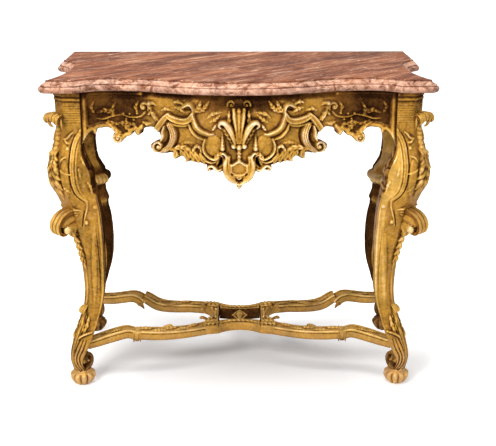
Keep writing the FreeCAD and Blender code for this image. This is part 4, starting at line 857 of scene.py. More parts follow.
# Leaves of the ankle and flutes of the lower leg
face.leaf([(-461, 236), (-465, 212), (-474, 182), (-485, 150), (-490, 128)], [12, 22, 24, 16, 5],
          [5, 7, 7, 5, 2], 3)
face.leaf([(-449, 212), (-455, 190), (-466, 165)], [7, 14, 6], [5, 7, 4], 3)
face.ridge([(-485, 148), (-474, 158), (-459, 165), (-440, 170)], [4, 6, 6, 4], [6, 8, 8, 5])
for shift in (0, 11, 22):
    face.groove([(-474 + 0.8 * shift, 148), (-487 + shift, 122), (-495 + 0.8 * shift, 95),
                 (-492 + 0.75 * shift, 70), (-478 + 0.6 * shift, 48)], [3, 6, 6, 6, 3], 3.2)
face.ridge([(-520, 45), (-430, 45)], 7, 3.5)

# Corner of the leg, across its canted face
edge = Relief(np.arange(-34, 34.1, 1.4), face.ds)
edge.leaf([(0, 722), (0, 690), (0, 655), (0, 620), (0, 590)], [18, 44, 58, 46, 14], [7, 12, 14, 11, 3], 5)
for side in (-1, 1):
    edge.leaf([(4 * side, 706), (14 * side, 684), (22 * side, 660)], [8, 17, 6], [11, 15, 11], 2)
    edge.leaf([(4 * side, 672), (15 * side, 648), (22 * side, 622)], [8, 18, 6], [12, 16, 10], 2)
    edge.groove([(9 * side, 190), (6 * side, 120), (6 * side, 60)], [2, 4, 2], 2.5)
edge.leaf([(0, 488), (0, 455), (0, 420), (0, 380), (0, 350)], [18, 26, 22, 15, 4], [10, 12, 10, 7, 2], 6)
edge.ridge([(0, 352), (0, 300), (0, 250)], [4, 10, 6], [2, 4, 3])
edge.leaf([(0, 240), (0, 212), (0, 180), (0, 140)], [12, 20, 18, 6], [5, 6, 5, 2], 3)
edge.ridge([(-30, 45), (30, 45)], 7, 3.5)
edge.ridge([(-30, 889), (30, 889)], 12, 2.5, "fillet")
edge.ridge([(-30, 875), (30, 875)], 7, 2)

# Flank towards the opening, from the face inwards
inside_cut = Relief(np.arange(-2, 80, 1.4), face.ds)
inside_cut.ridge([(-3, 667), (20, 668), (50, 666), (78, 667)], [22, 24, 22, 20], [2, 4, 4, 4])
inside_cut.ridge([(-3, 622), (30, 621), (78, 622)], [10, 11, 9], [2, 3, 3])
inside_cut.groove([(-3, 682), (78, 682)], 5, 4)
inside_cut.ridge([(6, 700), (8, 560), (8, 420), (7, 280), (6, 180)], [4, 10, 10, 9, 4], [1, 4, 4, 4, 1])
inside_cut.leaf([(34, 790), (34, 740), (36, 690), (38, 640)], [10, 28, 30, 10], [2, 6, 7, 2], 5)


def panel_drop(x, z):
    """How far the panel between the scrolled band and the opening falls back."""
    band_x = np.interp(z, [z for _, z in s_line[::-1]], [x for x, _ in s_line[::-1]])
    fade = rise(z, 588, 30) * fall(z, 785, 30)
    return 0.38 * np.clip(x - band_x - 8, 0, None) * fade


face.h -= panel_drop(face.x, face.d)
for sheet in (face, edge, inside_cut):
    sheet.h = soften(sheet.h, 1)
    # Painted shade of the leg carving: dark in hollows, light on crests
    tone = hollow_shade(sheet.h, 3, 9, 1.9) - 0.04 + 0.02 * rise(sheet.d, 780, 30)
    tone -= 0.2 * rise(sheet.d, 838, 50)  # painted shadow under the marble
    sheet.light = np.clip(tone, 0, 0.8)


def read_sheet(sheet, field, x, d):
    """Value of a sheet between its points."""
    column = np.clip((x - sheet.xs[0]) / (sheet.xs[1] - sheet.xs[0]), 0, len(sheet.xs) - 1.001)
    row = np.clip((d - sheet.ds[0]) / (sheet.ds[1] - sheet.ds[0]), 0, len(sheet.ds) - 1.001)
    i, j = column.astype(int), row.astype(int)
    u, v = column - i, row - j
    return ((field[j, i] * (1 - u) + field[j, i + 1] * u) * (1 - v)
            + (field[j + 1, i] * (1 - u) + field[j + 1, i + 1] * u) * v)


def cap(ring, start):
    """Triangles over a ring that may bend in and out, turned the way the ring runs."""
    middle = ring.mean(0)
    turn = np.cross(ring - middle, np.roll(ring, -1, 0) - middle).sum(0)
    found = []
    for a, b, c in tessellate_polygon([[Vector(place) for place in ring]]):
        same = np.dot(np.cross(ring[b] - ring[a], ring[c] - ring[a]), turn) > 0
        found.append((start + a, start + b, start + c) if same else (start + a, start + c, start + b))
    return found


def closed_grid(grid, light=None):
    """Closed mesh of rings: rows of points around, with faces over each end, and shades if it has them."""
    rings, around = grid.shape[:2]
    points = grid.reshape(-1, 3)
    row = np.arange(rings - 1)[:, None] * around
    column = np.arange(around)
    following = (column + 1) % around
    quads = np.stack([row + column, row + following, row + around + following, row + around + column], -1)
    quads = quads.reshape(-1, 4)
    faces = [*quads, *[f[::-1] for f in cap(grid[0], 0)], *cap(grid[-1], (rings - 1) * around)]
    a, b, c, d = (points[quads[:, k]] - grid[0].mean(0) for k in range(4))
    if (np.cross(a, b) * c).sum() + (np.cross(a, c) * d).sum() < 0:
        faces = turned(faces)
    return points, faces, None if light is None else np.asarray(light, float).ravel()


def joined(pieces):
    """Several closed meshes as one set of points, faces and shades."""
    points, faces, shades, start = [], [], [], 0
    for p, f, s in pieces:
        points.append(p)
        faces += [tuple(np.asarray(q) + start) for q in f]
        shades.append(s)
        start += len(p)
    return np.vstack(points), faces, np.concatenate(shades)


def leg_mesh(width, bevel, tones):
    """Front left leg with a width and an inner bevel at each height, and painted light and shade by height
    for some faces.
    """
    z, left_edge = leg_z[:, None], left[:, None]
    none = 0 * cant
    depth = np.minimum(flank, width - bevel)
    drop = panel_drop(left + width, leg_z)[:, None]
    corners = [(none, cant), (cant, none), (width, none), (width, depth), (depth, width), (none, width)]
    ways = np.array([(-DIAGONAL, -DIAGONAL), (0, -1), (1, 0), (DIAGONAL, DIAGONAL), (0, 1), (-1, 0)])
    counts = (28, 46, 16, 14, 16, 46)  # points over each face
    places, pushes, lights, outs = [], [], [], []
    for k, count in enumerate(counts):
        a, b = corners[k], corners[(k + 1) % 6]
        t = np.arange(count) / count
        px, py = (a[axis][:, None] * (1 - t) + b[axis][:, None] * t for axis in (0, 1))
        if k == MIDDLE:  # the flanks start where the panel has fallen back to
            py = np.maximum(py, drop + py * 0.01)
        if k == REAR:
            px = np.maximum(px, drop + px * 0.01)
        tall = np.broadcast_to(z, px.shape)
        if k == INNER:
            # painted shade on the narrow inner face
            height, light = np.zeros_like(px), np.full_like(px, 0.14)
        else:
            sheet, key = {
                CANTED: (edge, (px - py) / (2 * DIAGONAL)),
                FRONT: (face, px + left_edge),
                MIDDLE: (inside_cut, py),
                REAR: (inside_cut, px),
                OUTER: (face, py + left_edge),
            }[k]
            height = read_sheet(sheet, sheet.h, key, tall)
            light = read_sheet(sheet, sheet.light, key, tall)
        # painted light and shade by height on these faces, over half the carving's painted shade
        if k in tones:
            light = 0.5 * (light - light.mean()) * (k != INNER) + np.interp(tall, *tones[k])
            if k == INNER:  # reeds of the roll, with painted highlight on each reed
                reeds = np.cos(6 * np.pi * t) * rise(tall, 524, 6) * fall(tall, 558, 6)
                height, light = 2 * reeds, light + 0.14 * reeds
        elif k in (MIDDLE, REAR):  # painted shade on the flanks towards the opening, darker further in
            light = light - 0.10 - rise(key, 3, 9) * 0.26
        places.append(np.stack([px, py], -1))
        pushes.append(height)
        lights.append(light)
        outs.append(np.broadcast_to(ways[k], px.shape + (2,)))
    place, push, light, out = (np.concatenate(rows, 1) for rows in (places, pushes, lights, outs))
    for _ in range(2):  # rounds the corners and turns the directions over them
        place = (np.roll(place, 1, 1) + 2 * place + np.roll(place, -1, 1)) / 4
        out = (np.roll(out, 1, 1) + 2 * out + np.roll(out, -1, 1)) / 4
        push = (np.roll(push, 1, 1) + 4 * push + np.roll(push, -1, 1)) / 6
    out = out / np.linalg.norm(out, axis=-1, keepdims=True)
    origin = np.stack([left, left + FRONT_SHIFT], 1)
    place = place + out * push[..., None] + origin[:, None, :]
    grid = np.concatenate([place, np.broadcast_to(z[..., None], place.shape[:2] + (1,))], -1)
    return closed_grid(grid, light)


def canted(z, out):
    """Point on the diagonal of the front left leg at a height and a distance off its canted face."""
    at = np.interp(z, leg_z, left)
    half = np.interp(z, leg_z, cant) / 2
    return np.array([at + half - out * DIAGONAL, at + FRONT_SHIFT + half - out * DIAGONAL, z])


def strand(side, *rows):
    """Points beside the diagonal: height, distance off the canted face and shift to a side."""
    return [canted(z, out) + SIDEWAYS * shift * side for z, out, shift in rows]


def sweep(line, side, widths, thicks, lobes=0, waves=0.0, section=None, step=2.0, tones=None):
    """Closed strip along a line: side is its width direction, with scalloped edges if it has lobes."""
    line = smooth_line(line, step)
    count = len(line)
    share = np.linspace(0, 1, count)
    heading = np.gradient(line, axis=0)
    heading /= np.linalg.norm(heading, axis=1)[:, None] + 1e-9
    side = np.asarray(side, float)
    side = side - heading * (side * heading).sum(1)[:, None]
    side = side / np.linalg.norm(side, axis=1)[:, None]
    face_way = np.cross(heading, side)
    if section is None:
        turn = np.linspace(0, 2 * np.pi, 20, endpoint=False)
        section = np.stack([np.cos(turn), np.sin(turn)], 1)
    half = spread(widths, share) / 2 * (1 + waves * np.cos(2 * np.pi * lobes * share))
    thick = spread(thicks, share) / 2
    u, v = section[:, 0], section[:, 1]
    grid = (
        line[:, None, :]
        + (half[:, None] * u)[..., None] * side[:, None, :]
        + (thick[:, None] * v)[..., None] * face_way[:, None, :]
    )
    # Painted light and shade: lighter on the outer face than on the back, and along the lobes, unless tones
    # are given
    light = np.broadcast_to(0.5 + 0.16 * v if tones is None else tones, (count, len(u)))
    light = light + 0.1 * np.cos(2 * np.pi * lobes * share)[:, None] * (1 if lobes else 0)
    return closed_grid(grid, light)


def blob(centre, radii, light=0.65):
    """Egg-shaped bead with radii sideways, outwards and upwards."""
    rings = np.linspace(-0.5, 0.5, 15)[1:-1] * np.pi
    turn = np.linspace(0, 2 * np.pi, 22, endpoint=False)
    a, b, c = (axis * r for axis, r in zip((SIDEWAYS, OUTWARD, UP), radii))
    grid = (
        centre
        + (np.cos(rings)[:, None] * np.cos(turn))[..., None] * a
        + (np.cos(rings)[:, None] * np.sin(turn))[..., None] * b
        + (np.sin(rings)[:, None] * np.ones_like(turn))[..., None] * c
    )
    return closed_grid(grid, np.full((len(rings), len(turn)), light))


def foot_mesh(x, y):
    """Gadrooned foot with ten lobes under a cuff."""
    z = [0, 1, 4, 9, 15, 21, 27, 33, 37, 40, 42, 44, 46]
    r = [17, 21, 24.5, 28.5, 32, 35, 36.5, 35.5, 32.5, 28.5, 26, 27.5, 25]
    z, r = (spread(values, np.linspace(0, 1, 44)) for values in (z, r))
    angle = np.linspace(0, 2 * np.pi, 128, endpoint=False)
    toe = np.abs(np.cos(5 * angle + 0.39))
    lobed = fall(z, 41, 6)[:, None]
    size = r[:, None] * (1 + lobed * (0.30 * np.sqrt(toe) - 0.24))
    tall = np.broadcast_to(z[:, None], size.shape)
    grid = np.stack([x + size * np.cos(angle), y + size * np.sin(angle), tall], -1)
    # painted shade between the lobes and painted light on them; even under the cuff
    return closed_grid(grid, 0.12 + 0.62 * np.sqrt(toe) * lobed + 0.45 * (1 - lobed))


# Section of a scroll's band, with three reeds on its outer face
over = np.linspace(-1, 1, 31)
reeds = np.abs(np.cos(1.5 * np.pi * over))
back_of_band = [(0.98, -0.3), (0.9, -0.9), (0.5, -1), (0, -1), (-0.5, -1), (-0.9, -0.9), (-0.98, -0.3)]
fluted = np.vstack([np.stack([over, 0.45 + 0.55 * reeds], 1), back_of_band])
# Painted highlight on the reeds, painted shade between them and on the back of the band
fluted_tones = np.concatenate([0.16 + 0.52 * reeds**0.6, [0.3] * len(back_of_band)])


def reeded(line, widths, thicks):
    """Reeded band along a line, with its width across the leg's diagonal."""
    return sweep(line, SIDEWAYS, widths, thicks, section=fluted, step=1.5, tones=fluted_tones)


def off_knee(points):
    """Places in the diagonal plane from distances out from the knee and heights."""
    return [KNEE + OUTWARD * out + UP * (z - KNEE[2]) for out, z in points]


def knee_mesh():
    """Knee scroll: a reeded band that leaves the leg, coils under itself and ends in an eye."""
    path = [(-34, 544), (-4, 549), (18, 547), (36, 538), (48, 524), (52, 508),
            (48, 495), (38, 488), (27, 491), (21, 500), (24, 509), (32, 511)]
    widths = [40, 46, 48, 48, 48, 48, 49, 50, 51, 52]
    shapes = [reeded(off_knee(path), widths, [11, 13, 13, 13, 12, 11, 10, 9, 8, 6])]
    # Body of the scroll inside the band, and its root under it
    body = off_knee([(-40, 532), (-8, 531), (10, 527), (24, 518), (32, 507)])
    shapes.append(sweep(body, -SIDEWAYS, [44, 42, 40, 38, 34], [28, 30, 32, 32, 28]))
    root = off_knee([(-36, 506), (-10, 505), (8, 503), (22, 502)])
    shapes.append(sweep(root, -SIDEWAYS, [46, 42, 38, 34], [40, 40, 34, 26]))
    # Eyes of the scroll, with painted highlight
    for side in (-1, 1):
        eye = KNEE + OUTWARD * 26 - UP * 10 + SIDEWAYS * 24 * side
        shapes.append(blob(eye, (9, 11.5, 11.5), light=0.8))
    for side in (-1, 1):  # leaf lobes that hang under the scroll
        line = strand(side, (494, 2, 10), (484, 12, 11), (472, 12, 9), (463, 4, 6))
        shapes.append(sweep(line, SIDEWAYS, [12, 15, 12, 4], [9, 9, 7, 3]))
    for z in (452, 430, 408, 390):
        line = [canted(z + 13, 1), canted(z + 4, 9), canted(z - 5, 9), canted(z - 9, 3)]
        shapes.append(sweep(line, SIDEWAYS, [8, 16, 13, 4], [6, 7, 6, 3]))
    return joined(shapes)


def husk_mesh():
    """Curled leaf, string of husks and collar on the post's corner."""
    # Core of the curl, with painted shade
    shapes = [blob(canted(817, 8), (15, 13, 15), light=0.2)]
    for side in (-27, -14, 0, 14, 27):  # tuft of leaf tips that turn down
        low = 0.22 * abs(side)
        line = strand(side, (822, -4, 0.4), (834 - low, 8, 0.7), (837 - low, 18, 0.9),
                      (831 - low, 27, 1), (821 - low, 29, 1), (815 - low, 24, 1))
        shapes.append(reeded(line, [8, 13, 15, 14, 11, 5], [6, 8, 9, 9, 8, 5]))
    for side in (-1, 1):
        line = strand(side, (832, 2, 12), (826, 12, 23), (813, 15, 29), (800, 12, 28), (793, 6, 22))
        tilted = SIDEWAYS + OUTWARD * 0.6 * side
        shapes.append(sweep(line, tilted, [6, 13, 15, 11, 4], [6, 7, 7, 6, 4], 2, 0.1))
    for z, r in ((791, 6.5), (779, 7), (766, 7.5), (752, 7.5), (738, 7)):
        shapes.append(blob(canted(z, 3.5), (r, 8.5, r + 0.6)))
        shapes.append(blob(canted(z - 6.5, 0), (4.5, 8, 3)))
    for side in (-1, 0, 1):
        line = strand(side, (735, -2, 6), (731, 8, 9), (724, 13, 12), (719, 9, 12))
        shapes.append(sweep(line, SIDEWAYS, [7, 12, 12, 4], [5, 6, 6, 4]))
    return joined(shapes)


def ankle_mesh():
    """Inner volute above the foot."""
    deep = (np.interp(ANKLE, leg_z, flank) + np.interp(ANKLE, leg_z, width)) / 2
    near = np.interp(ANKLE, leg_z, left)
    centre = np.array([near + deep + 2, near + FRONT_SHIFT + deep + 2, ANKLE + 1])
    path = [(-26, 50), (-10, 47), (5, 51), (15, 61), (19, 76), (16, 90),
            (6, 98), (-5, 95), (-9, 86), (-5, 77), (3, 75), (6, 81)]
    line = [centre - OUTWARD * out + UP * (z - centre[2]) for out, z in path]
    widths = [36, 38, 40, 42, 43, 44, 45, 46, 48, 50, 51]
    axle = [centre + SIDEWAYS * shift for shift in (-27, -24, 0, 24, 27)]
    body = [centre + OUTWARD * 22 + UP * 4, centre + OUTWARD * 8 - UP * 2, centre - OUTWARD * 6]
    return joined([
        reeded(line, widths, [10, 10, 10, 10, 9, 9, 8, 7, 6, 5]),
        sweep(axle, UP, [4, 10, 12, 10, 4], [4, 10, 12, 10, 4]),
        sweep(body, SIDEWAYS, [34, 36, 30], [26, 30, 22]),
    ])


def ankle_leaf():
    """Small curled leaf on the corner above the ankle."""
    shapes = []
    for side in (-1, 0, 1):
        line = strand(side, (246, -3, 4), (243, 6, 7), (235, 13, 9), (226, 12, 9), (223, 6, 7))
        shapes.append(sweep(line, SIDEWAYS, [7, 11, 11, 5], [5, 6, 5, 3]))
    return joined(shapes)


def to_leg(mesh, across, deep):
    """A front left mesh at another leg: across and deep are -1 or 1."""
    points, faces, shades = flipped(mesh, -across, -deep)
    if deep > 0:
        points = points + np.array([BACK_SPREAD * across, 0, 0])
    return points, faces, shades


def painted_light_on_right_leg(mesh, back):
    """Shades of a right leg, with painted light on its faces towards the middle, from the mesh of a left one
    at the front.
    """
    points, _, shades = mesh
    x, y, z = points.T
    if back:
        deep = x + y - FRONT_SHIFT - np.interp(z, leg_z, 2 * left + 0.9 * width)
        lit = np.clip(deep / 8, 0, 1) * rise(z, 515, 25) * fall(z, 800, 70)
        return np.clip(shades + 0.26 * lit, 0, 0.9)
    line_x, line_z = np.array(s_line[:0:-1]).T
    shank_z = [150, 480]
    shank_x = np.interp(shank_z, leg_z, inner) - (14, 20)
    band = np.interp(z, [*shank_z, *line_z], [*shank_x, *(line_x + 7)])
    lit = rise(x, band, 6) * fall(z, 790, 60) * rise(z, 200, 120)
    return np.clip(shades + 0.22 * lit, 0, 0.9)


leg_shapes = {
    "leg": joined([leg_mesh(width, 2, {}), ankle_leaf()]),
    "knee_scroll": knee_mesh(),
    "ankle_scroll": ankle_mesh(),
    "husk_chain": husk_mesh(),
    "foot": foot_mesh(FOOT_X, FOOT_X + FRONT_SHIFT),
}
for deep, row in ((-1, "front"), (1, "back")):
    if deep > 0:
        bevel = np.interp(leg_z, [130, 300, 440, 700, 790], [2, 14, 28, 32, 2])
        leg_shapes["leg"] = joined([leg_mesh(back_inner - left, bevel, BACK_PAINTED_LIGHT), ankle_leaf()])
    for across, end in ((-1, "left"), (1, "right")):
        for name, mesh in leg_shapes.items():
            node = f"{name}_{row}_{end}"
            points, faces, shades = to_leg(mesh, across, deep)
            # painted light on the right legs' faces towards the middle
            if name == "leg" and across > 0:
                shades = painted_light_on_right_leg(mesh, deep > 0)
            if deep > 0:  # painted shade low on the back legs, with duller gilding
                shades = shades * (0.40 + 0.60 * rise(points[:, 2], 90, 170))
            make_piece("carved_" + node, (points, faces, shades), [node])


# Marble slab: raised field, hollow moulding and rounded nose along every edge but the back


def arc_points(start, middle, end, count=28):
    """Points of an arc through three places."""
    (ax, ay), (bx, by), (cx, cy) = start, middle, end
    d = 2 * (ax * (by - cy) + bx * (cy - ay) + cx * (ay - by))
    ux = ((ax**2 + ay**2) * (by - cy) + (bx**2 + by**2) * (cy - ay) + (cx**2 + cy**2) * (ay - by)) / d
    uy = ((ax**2 + ay**2) * (cx - bx) + (bx**2 + by**2) * (ax - cx) + (cx**2 + cy**2) * (bx - ax)) / d
    angles = np.unwrap([math.atan2(y - uy, x - ux) for x, y in (start, middle, end)])
    turn = np.interp(np.linspace(0, 2, count), [0, 1, 2], angles)
    r = math.hypot(ax - ux, ay - uy)
    return [(ux + r * math.cos(t), uy + r * math.sin(t)) for t in turn]


def arc_middle(x0, y0, x1, y1, radius):
    """Middle of the arc that leaves x0, y0 upright and swings out to x1, y1."""
    y = (y0 + y1) / 2
    return (x0 + math.copysign(radius - math.sqrt(radius**2 - (y - y0) ** 2), x1 - x0), y)


# Left half of the plan from the back: ear, hollow, waist, flare and front corner
EAR_X = -545
WAIST_X = -502
CORNER_X = -542
CORNER_Y = -262
EAR_Y, COVE_Y = 105, 20
FLARE_Y, FLARE_END = -50, -236
cove_in, cove_run = WAIST_X - EAR_X, EAR_Y - COVE_Y
flare_out, flare_run = WAIST_X - CORNER_X, FLARE_Y - FLARE_END
cove_radius = (cove_in**2 + cove_run**2) / (2 * cove_in)
flare_radius = (flare_run**2 + flare_out**2) / (2 * flare_out)
cove_middle = arc_middle(WAIST_X, COVE_Y, EAR_X, EAR_Y, cove_radius)
flare_middle = arc_middle(WAIST_X, FLARE_Y, CORNER_X, FLARE_END, flare_radius)
plan = [(EAR_X, y) for y in (MARBLE_BACK, 260, 220, 180, 140, 120)]
plan += arc_points((EAR_X, EAR_Y), cove_middle, (WAIST_X, COVE_Y), 24)
plan += [(WAIST_X, y) for y in (0, -20, -36)]
plan += arc_points((WAIST_X, FLARE_Y), flare_middle, (CORNER_X, FLARE_END), 40)
plan += arc_points((CORNER_X, FLARE_END), (-534.4, -254.4), (-516, CORNER_Y), 14)[1:]
plan += [(x, CORNER_Y) for x in (-500, -480, -460)]
plan += [(x, float(front_y(np.array(x), 0))) for x in np.linspace(-440, 0, 90)]
plan = np.array(plan)
# The photo's slab is a little wider than the solid, most of all at the ears
plan[:, 0] *= np.interp(plan[:, 1], [CORNER_Y, MARBLE_BACK], [1.011, 1.014])
plan = np.vstack([plan, plan[-2::-1] * (-1, 1)])
runs = np.diff(plan, axis=0)
normals = np.stack([-runs[:, 1], runs[:, 0]], 1) / np.linalg.norm(runs, axis=1)[:, None]
before, after = np.vstack([normals[:1], normals]), np.vstack([normals, normals[-1:]])
inward = (before + after) / (1 + (before * after).sum(1))[:, None]
# Moulding of the edge: how far in from the plan, and height
EDGE_RINGS = [(14, 895), (9, 895.4), (4.5, 897), (1.5, 900), (0, 904), (0, 907), (1, 910), (2.6, 912),
              (5.4, 912.8), (6.2, 913.8), (5.6, 914.8), (5.6, 916), (7, 917.6), (9.6, 918.8),
              (12.6, 919.8), (15.6, 921), (18.2, 922.8), (20, 924.8), (21.4, 925.6), (21.8, 926.4),
              (21.2, 927.4), (21.2, 928.6), (22, 929.6), (23.4, 930), (25, 930)]
rings = []
for inset, z in EDGE_RINGS:
    ring = plan + inward * inset
    ring[[0, -1], 1] = MARBLE_BACK
    rings.append(np.column_stack([ring, np.full(len(ring), z)]))
make_piece("veined_marble_top", closed_grid(np.array(rings)), ["marble_top"], stone, sharp=38)


# Side aprons: hollow in plan and moulded like the front

# Plan of the left apron: its x at y 0, its tilt and bend along y, and half its length
SIDE_X = -488
SIDE_TILT = 0.0503
SIDE_BEND = 0.00087
SIDE_END = 159


def on_side(y, d, out):
    """Point of the left apron at a place along it, a drop below the marble and a height off its face."""
    slope = -SIDE_TILT - 2 * SIDE_BEND * y
    norm = np.hypot(slope, 1)
    x = SIDE_X - SIDE_TILT * y - SIDE_BEND * y**2
    return np.stack([x - out / norm, y + out * slope / norm, MARBLE_UNDER - d], 1)


SIDE_EDGE = [(-SIDE_END, 155), (-156, 136), (-146, 114), (-132, 99), (-114, 92), (-97, 92), (-88, 104),
             (-78, 115), (-66, 119), (-55, 118), (-42, 114), (-32, 116), (-26, 124), (-20, 134),
             (-12, 142), (0, 146)]
side_left_edge = smooth_line(SIDE_EDGE, 2.0)
side_loop = np.vstack([[(-SIDE_END, 0)], side_left_edge, side_left_edge[-2::-1] * (-1, 1), [(SIDE_END, 0)]])
side_cut = Relief(np.arange(-SIDE_END, 0.1, 1.5), np.arange(0, 156, 1.6))
side_rim = edge_distance(side_cut.x, side_cut.d, side_loop)

# Cove under the marble, moulded lower edge and fillets beside the posts
cove(side_cut, 4)
side_band = dome((side_rim - 7) / 6) * 7
side_cut.h = np.maximum(side_cut.h, side_band * (side_cut.d > 60))
side_cut.ridge([(-151, -2), (-151, 92)], 10, 4, "fillet")

# Scrolls, stems, leaves and berries on both sides of the middle
side_cut.leaf([(-92, 66), (-86, 88), (-74, 112)], [9, 22, 10], [6, 12, 9], 4)
side_cut.ridge(volute(-72, 103, 11, 4, 130, -1.1), [7, 6, 4], [10, 12, 9])
side_cut.bead(-72, 103, 4, 12)
side_cut.ridge([(-128, 62), (-108, 56), (-86, 62), (-64, 72), (-46, 66)], [3, 6, 6, 6, 4], [5, 8, 9, 9, 7])
side_cut.leaf([(-112, 58), (-122, 44), (-136, 38)], [6, 14, 5], 8, 3)
side_cut.leaf([(-66, 72), (-60, 52), (-66, 36)], [6, 15, 5], 9, 3)
side_cut.leaf([(-56, 70), (-46, 86), (-44, 104)], [6, 14, 5], 9, 3)
for x, d, r in ((-104, 44, 3.5), (-94, 50, 4), (-80, 48, 4)):
    side_cut.bead(x, d, r, 7)

# Palmette at the middle: flute with reeds, plumes, binding and a leaf below
side_cut.ridge([(0, 40), (0, 74), (0, 108)], [22, 20, 12], [10, 14, 13], "fillet")
for at in (-1, 0):
    side_cut.ridge([(10 * at, 42), (8 * at, 74), (4 * at, 106)], [8, 7, 5], 4, base=13)
side_cut.ridge([(-8, 112), (-14, 90), (-24, 72), (-36, 64), (-44, 72), (-38, 78)], [7, 11, 13, 12, 8, 5],
               [12, 15, 17, 16, 13, 10], "rolled")
side_cut.ridge([(-14, 118), (-22, 104), (-30, 92)], [6, 10, 4], [10, 12, 8])
side_cut.bead(0, 114, 8, 16)
side_cut.bead(-13, 114, 6, 13)
side_cut.leaf([(0, 118), (0, 130), (0, 144)], [12, 18, 8], [14, 14, 10], 3)

finish_carving(side_cut, side_rim, 0.4)
side_light = mirrored(hollow_shade(side_cut.h))
points, faces, shades = plank(whole(side_cut), mirrored(side_rim), on_side, APRON_THICKNESS, side_light)
make_pair("carved_side_apron", (points, turned(faces), shades), "side_apron")


# Stretcher: arms that rise beyond the leg and fall to a collar, and a pierced middle

# Half of the moulded section, from the middle of the underside to the middle of the top: across, up, shade
HALF_SECTION = [(0, -1, 0.2), (0.5, -1, 0.2), (0.93, -1, 0.25), (1, -0.9, 0.42), (1, -0.5, 0.5),
                (1, 0, 0.52), (1, 0.3, 0.46), (0.96, 0.36, 0.3), (0.93, 0.4, 0.27), (0.93, 0.46, 0.3),
                (0.98, 0.52, 0.5), (1.03, 0.6, 0.62), (1.04, 0.75, 0.72), (1, 0.9, 0.75),
                (0.92, 0.98, 0.73), (0.82, 1, 0.68), (0.74, 0.92, 0.5), (0.7, 0.8, 0.36),
                (0.55, 0.76, 0.48), (0.3, 0.82, 0.58), (0, 0.86, 0.6)]
half_section = np.array(HALF_SECTION)
moulded = np.vstack([half_section, half_section[-2:0:-1] * (-1, 1, 1)])
moulded, moulded_tones = moulded[:, :2], moulded[:, 2]

# Section of a collar
quarter = np.linspace(0, np.pi / 2, 5)
rounded_box = np.vstack([
    np.stack([sx * (0.86 + 0.14 * np.cos(q)), sz * (0.84 + 0.16 * np.sin(q))], 1)
    for sx, sz, q in ((1, 1, quarter), (-1, 1, quarter[::-1]), (-1, -1, quarter), (1, -1, quarter[::-1]))
])

# Middle lines of the left arms: from the leg to the collar or step, and on to the yoke; drawn at the front
ARM_LINES = {
    "front": (
        [(-462, -181, 121), (-432, -167, 125), (-400, -154, 131), (-370, -145, 137),
         (-346, -138, 140), (-330, -134, 136), (-316, -132, 129)],
        [(-322, -132.6, 130), (-304, -132, 132), (-270, -129.5, 130), (-217, -121, 127),
         (-161, -105, 126), (-109, -83, 126)],
    ),
    "back": (
        [(-462, -181, 122), (-432, -167, 126), (-400, -155, 131), (-370, -146, 138),
         (-346, -139, 144), (-328, -134.5, 145), (-314, -133, 138), (-304, -132.5, 127)],
        [(-302, -132, 146), (-293, -131.5, 142), (-281, -130.5, 134), (-266, -129, 124), (-245, -126, 117),
         (-215, -121, 115), (-180, -111, 118), (-150, -101, 122), (-109, -83, 126)],
    ),
}
COLLAR = np.array([-314, -132, 129.5])
STEP = np.array([-304.0, -132, 122])


def along_path(path, share):
    """Point at a share of a smooth line."""
    line = smooth_line(path, 1.0)
    return line[int(round(share * (len(line) - 1)))]


def beside(at, *shifts):
    """Places around a point."""
    return [at + np.array(shift, float) for shift in shifts]


def collar_shapes():
    """A block between two fillets."""
    shapes = []
    along = np.array([1, 0.06, 0])
    for shift, wide, thick, long in ((0, 43, 32, 14), (-10, 46, 35, 4), (10, 46, 35, 4)):
        line = [COLLAR + along * shift + along * long * t for t in (-0.5, -0.35, 0, 0.35, 0.5)]
        widths = [wide - 4, wide, wide, wide, wide - 4]
        thicks = [thick - 4, thick, thick, thick, thick - 4]
        shapes.append(sweep(line, (-0.06, 1, 0), widths, thicks, section=rounded_box, step=1.2))
    return shapes


def cusp_shapes():
    """Cusps where the two scrolls of a back arm meet."""
    shapes = []
    for side in (-1, 1):
        at = STEP + np.array([0, 18 * side, 0])
        line = beside(at, (-14, -2 - 4 * side, 6), (-4, 2 * side, 0), (3, 9 * side, -9))
        shapes.append(sweep(line, (0.4, 0.2, 1), [14, 14, 4], [10, 9, 4]))
    return shapes


